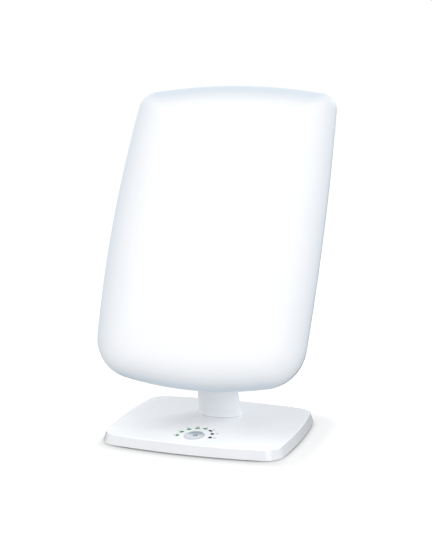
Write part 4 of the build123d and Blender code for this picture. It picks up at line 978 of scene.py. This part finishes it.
def repeat_on_points(tree, given, result, shape):
    """Puts a shape on every point along its aim, makes the copies real and gives them their material."""
    copies = add(tree, "GeometryNodeInstanceOnPoints")
    aim = add(tree, "GeometryNodeInputNamedAttribute", data_type="FLOAT_VECTOR", name="aim")
    turned = add(tree, "FunctionNodeAlignRotationToVector", axis="Z")
    real = add(tree, "GeometryNodeRealizeInstances")
    coated = add(tree, "GeometryNodeSetMaterial")
    wire(tree, (given["Geometry"], copies.inputs["Points"]), (shape, copies.inputs["Instance"]),
         (aim.outputs["Attribute"], turned.inputs["Vector"]),
         (turned.outputs["Rotation"], copies.inputs["Rotation"]),
         (copies.outputs["Instances"], real.inputs["Geometry"]),
         (real.outputs["Geometry"], coated.inputs["Geometry"]),
         (given["Finish"], coated.inputs["Material"]), (coated.outputs["Geometry"], result["Geometry"]))


print("helpers for the trees are ready")

# %% The tree of the pan-head screws
SCREW_POINTS = (41, 33)           # along its profile and round it
RECESS_SLIMNESS = 4.5             # each bar of the cross is this many times as long as it is wide


def make_screw_tree():
    """A screw from its tip over its shank and flat underside to the top of its dome, with a cross recess."""
    tree, given, result = new_group("pan_head_screws", "GeometryNodeTree", (
        ("Geometry", "Geometry"), ("Head Radius", 2.8 * MM), ("Head Height", 1.4 * MM),
        ("Shank Radius", 1.5 * MM), ("Length", 10 * MM), ("Recess Width", 3.0 * MM),
        ("Recess Depth", 0.8 * MM), ("Finish", "Material")), SHAPE)
    head_share = ((0.0, 0.0), (0.25, 0.0), (0.3, 1.0), (0.45, 1.0), (0.55, 0.97), (0.7, 0.82), (0.85, 0.5),
                  (1.0, 0.0))
    shank_share = ((0.0, 0.0), (0.08, 0.75), (0.12, 1.0), (0.25, 1.0), (0.3, 0.0), (1.0, 0.0))
    depth_share = ((0.0, 1.0), (0.08, 1.0), (0.12, 0.93), (0.25, 0.0), (1.0, 0.0))
    rise_share = ((0.0, 0.0), (0.3, 0.0), (0.45, 0.35), (0.55, 0.55), (0.7, 0.8), (0.85, 0.95), (1.0, 1.0))

    def radius_of(along):
        return worked(tree, "ADD", float_curve(tree, along, head_share, given["Head Radius"]),
                      float_curve(tree, along, shank_share, given["Shank Radius"]))

    def height_of(along):
        return worked(tree, "SUBTRACT", float_curve(tree, along, rise_share, given["Head Height"]),
                      float_curve(tree, along, depth_share, given["Length"]))

    body = turned_surface(tree, radius_of, height_of, *SCREW_POINTS)
    cut = add(tree, "GeometryNodeMeshBoolean", operation="DIFFERENCE", solver="EXACT")
    wire(tree, (body, cut.inputs["Mesh 1"]))
    slim = worked(tree, "DIVIDE", given["Recess Width"], RECESS_SLIMNESS)
    deep = worked(tree, "MULTIPLY", given["Recess Depth"], 2.0)     # half of it lies above the head
    for across, over in ((given["Recess Width"], slim), (slim, given["Recess Width"])):
        bar = add(tree, "GeometryNodeMeshCube")
        size = add(tree, "ShaderNodeCombineXYZ")
        moved = add(tree, "GeometryNodeTransform")
        lift = add(tree, "ShaderNodeCombineXYZ")
        wire(tree, (across, size.inputs["X"]), (over, size.inputs["Y"]), (deep, size.inputs["Z"]),
             (size.outputs["Vector"], bar.inputs["Size"]), (given["Head Height"], lift.inputs["Z"]),
             (lift.outputs["Vector"], moved.inputs["Translation"]),
             (bar.outputs["Mesh"], moved.inputs["Geometry"]),
             (moved.outputs["Geometry"], cut.inputs["Mesh 2"]))
    repeat_on_points(tree, given, result, cut.outputs["Mesh"])
    return tree


screw_tree = make_screw_tree()
print(screw_tree.name, "has", len(screw_tree.nodes), "nodes")

# %% Run a tree on points
FINE_SHARP = radians(32)


def grown(name, tree, places, aims, finish, **sizes):
    """An object whose points carry an aim, made into a plain mesh by a tree."""
    made = mesh_object(name, places, [])
    made.data.attributes.new("aim", "FLOAT_VECTOR", "POINT").data.foreach_set("vector", np.ravel(aims))
    grow = made.modifiers.new("grow", "NODES")
    grow.node_group = tree
    given = {s.name: s.identifier for s in tree.interface.items_tree if s.in_out == "INPUT"}
    for key, value in sizes.items():
        grow[given[key.replace("_", " ").title()]] = value
    grow[given["Finish"]] = finishes[finish]
    settled(made)
    made.data.polygons.foreach_set("use_smooth", [True] * len(made.data.polygons))
    made.data.set_sharp_from_angle(angle=FINE_SHARP)
    return outward(made)

# %% Put in the screws
SCREW_HEAD_H = 1.4 * MM
END_DEPTH = 0.1 * MM              # points this close to a screw's end belong to the end
panel_back = panel_frame.to_3x3() @ Vector((0.0, 1.0, 0.0))
UP = Vector((0.0, 0.0, 1.0))
SCREWS = (("cover_screws", panel_back, "head"), ("bracket_screws", panel_back, "head"),
          ("tray_screws", panel_back, "head"), ("base_screws", UP, "base"), ("neck_screws", UP, "base"),
          ("display_screws", UP, "base"))


def screw_ends(points, axis):
    """The middle of a screw's head, the direction that the head looks in, and the whole length."""
    ends = []
    for way in (axis, -axis):
        along = points @ np.array(way)
        end = points[along > along.max() - END_DEPTH]
        ends.append((np.ptp(end, axis=0).max(), Vector(end.mean(axis=0)), way, float(np.ptp(along))))
    return max(ends, key=lambda end: end[0])[1:]


for node, axis, body in SCREWS:
    found = [screw_ends(points, axis) for points in separate_solids(node)]
    places = [top - way * SCREW_HEAD_H for top, way, _ in found]
    made = grown("pan_head_" + node, screw_tree, places, [way for _, way, _ in found], "screw_steel",
                 length=found[0][2] - SCREW_HEAD_H)
    finish_piece(made, "screw_steel", body, node)

# %% Make the rubber feet
FOOT_POINTS = (51, 49)            # along its profile and round it


def make_foot_tree():
    """A low round foot with a rounded edge all round."""
    tree, given, result = new_group("rubber_feet", "GeometryNodeTree", (
        ("Geometry", "Geometry"), ("Radius", 8.0 * MM), ("Thickness", 1.5 * MM),
        ("Finish", "Material")), SHAPE)
    wide_share = ((0.0, 0.0), (0.3, 0.9), (0.38, 0.96), (0.46, 0.99), (0.5, 1.0), (0.6, 1.0), (0.62, 1.0),
                  (1.0, 0.0))
    high_share = ((0.0, 0.0), (0.3, 0.0), (0.38, 0.08), (0.46, 0.28), (0.5, 0.5), (0.6, 1.0), (1.0, 1.0))

    body = turned_surface(tree, lambda along: float_curve(tree, along, wide_share, given["Radius"]),
                          lambda along: float_curve(tree, along, high_share, given["Thickness"]),
                          *FOOT_POINTS)
    repeat_on_points(tree, given, result, body)
    return tree


feet = [np.array((points.min(axis=0), points.max(axis=0))) for points in separate_solids("rubber_feet")]
made = grown("rubber_foot_pads", make_foot_tree(), [(*((low + high) / 2)[:2], low[2]) for low, high in feet],
             [UP] * len(feet), "rubber", radius=float(np.ptp(feet[0][:, 0]) / 2),
             thickness=float(np.ptp(feet[0][:, 2])))
finish_piece(made, "rubber", "base", "rubber_feet")

# %% [markdown]
# ## The paper
# The floor is white paper that is lit so strongly that it has no edge and no horizon. Close to the base its
# own light is dimmed: a painted shadow on top of the little real shade the paper keeps, narrow along the
# skirt and wider where it falls to the right. A ramp over the distance from the base does that: the paper's
# light grows a little with every centimetre, and a hand's breadth away nothing is left of the painted shadow.

# %% Measure from the skirt
SKIRT_HALF_X = 147.0 * MM         # the base at its corners, its bulging sides and the flare of its skirt
SKIRT_HALF_Y = 118.5 * MM
SKIRT_BOW_X = 7.5 * MM
SKIRT_BOW_Y = 13.5 * MM
SKIRT_FLARE = 5.0 * MM
SKIRT_ROUNDING = 61.0 * MM        # blends the sides at the corners
base_middle = measured("base_cover")[2]
SKIRT_MIDDLE = Vector((base_middle.x, base_middle.y, 0.0))


def from_skirt(tree, point):
    """How far a point lies outside the base's skirt. The point is given from the base's middle."""
    folded = worked(tree, "ABSOLUTE", point, kind=VECTOR_MATH)
    sides = []
    for half, bow, far, axis in ((SKIRT_HALF_Y, SKIRT_BOW_X, SKIRT_HALF_X, 0),
                                 (SKIRT_HALF_X, SKIRT_BOW_Y, SKIRT_HALF_Y, 1)):
        radius = arc_radius(half, bow)
        centre = Vector()
        centre[axis] = far + bow - radius
        away = worked(tree, "DISTANCE", folded, centre, kind=VECTOR_MATH, output="Value")
        sides.append(worked(tree, "SUBTRACT", away, radius + SKIRT_FLARE))
    return worked(tree, "SMOOTH_MAX", *sides, SKIRT_ROUNDING)


print("the skirt's middle in mm:", [round(x / MM, 1) for x in SKIRT_MIDDLE])

# %% Paint the floor
# The paper's shade near the base is painted: a narrow shadow along the skirt and a wide one shifted right.
SHADE_REACH = 100.0 * MM          # distances from the skirt are read up to here
SHADE_SHIFT = Vector((18.0 * MM, 0.0, 0.0))   # the wide shade falls to the right
FRONT_STRETCH = (-0.14, -0.08, 0.45)          # between these y, distances shrink to this share
CONTACT_SHADE = ((-5, 0.02), (-2, 0.20), (0, 0.42), (1, 0.56), (2, 0.71), (3, 0.775), (4, 0.83), (5, 0.87),
                 (6, 0.905), (8, 0.95), (12, 1.0))      # millimetres from the skirt, brightness
WIDE_SHADE = ((-20, 0.765), (8, 0.765), (14, 0.785), (18, 0.81), (22, 0.83), (27, 0.86), (35, 0.91),
              (50, 1.0))


def shade_ramp(tree, distance, stops):
    """The paper's brightness at a distance from the skirt."""
    share = add(tree, "ShaderNodeMapRange", from_min=-SHADE_REACH, from_max=SHADE_REACH)
    wire(tree, (distance, share.inputs["Value"]))
    spots = [((at * MM + SHADE_REACH) / (2 * SHADE_REACH), level) for at, level in stops]
    return float_curve(tree, share.outputs["Result"], [(0.0, spots[0][1]), *spots, (1.0, 1.0)])


def make_paper():
    """White paper whose own light fades towards the base, as a painted shadow."""
    tree, shader, tone = start_material("paper_floor", skin, bump=0.02, distance=2.0 * MM, roughness=0.6,
                                        wave_scale=3.0)
    tint(tree, tone, (0.145, 0.145, 0.145), (0.155, 0.155, 0.155), shader.inputs["Base Color"])
    fill(shader, specular_ior_level=0.0, emission_color=WHITE)
    place = add(tree, "ShaderNodeTexCoord").outputs["Object"]
    middled = worked(tree, "SUBTRACT", place, SKIRT_MIDDLE, kind=VECTOR_MATH)
    shifted = worked(tree, "SUBTRACT", middled, SHADE_SHIFT, kind=VECTOR_MATH)
    apart = add(tree, "ShaderNodeSeparateXYZ")
    stretch = add(tree, "ShaderNodeMapRange", interpolation_type="SMOOTHSTEP", from_min=FRONT_STRETCH[0],
                  from_max=FRONT_STRETCH[1], to_min=FRONT_STRETCH[2])
    wire(tree, (middled, apart.inputs[0]), (apart.outputs["Y"], stretch.inputs["Value"]))
    near = shade_ramp(tree, worked(tree, "MULTIPLY", from_skirt(tree, middled), stretch.outputs["Result"]),
                      CONTACT_SHADE)
    wide = shade_ramp(tree, from_skirt(tree, shifted), WIDE_SHADE)
    seen = add(tree, "ShaderNodeLightPath").outputs["Is Camera Ray"]
    light = worked(tree, "MULTIPLY", worked(tree, "MULTIPLY", near, wide), seen)
    wire(tree, (light, shader.inputs["Emission Strength"]))


make_paper()
give(floor, "paper_floor")
print("the paper has", len(finishes["paper_floor"].node_tree.nodes), "nodes")
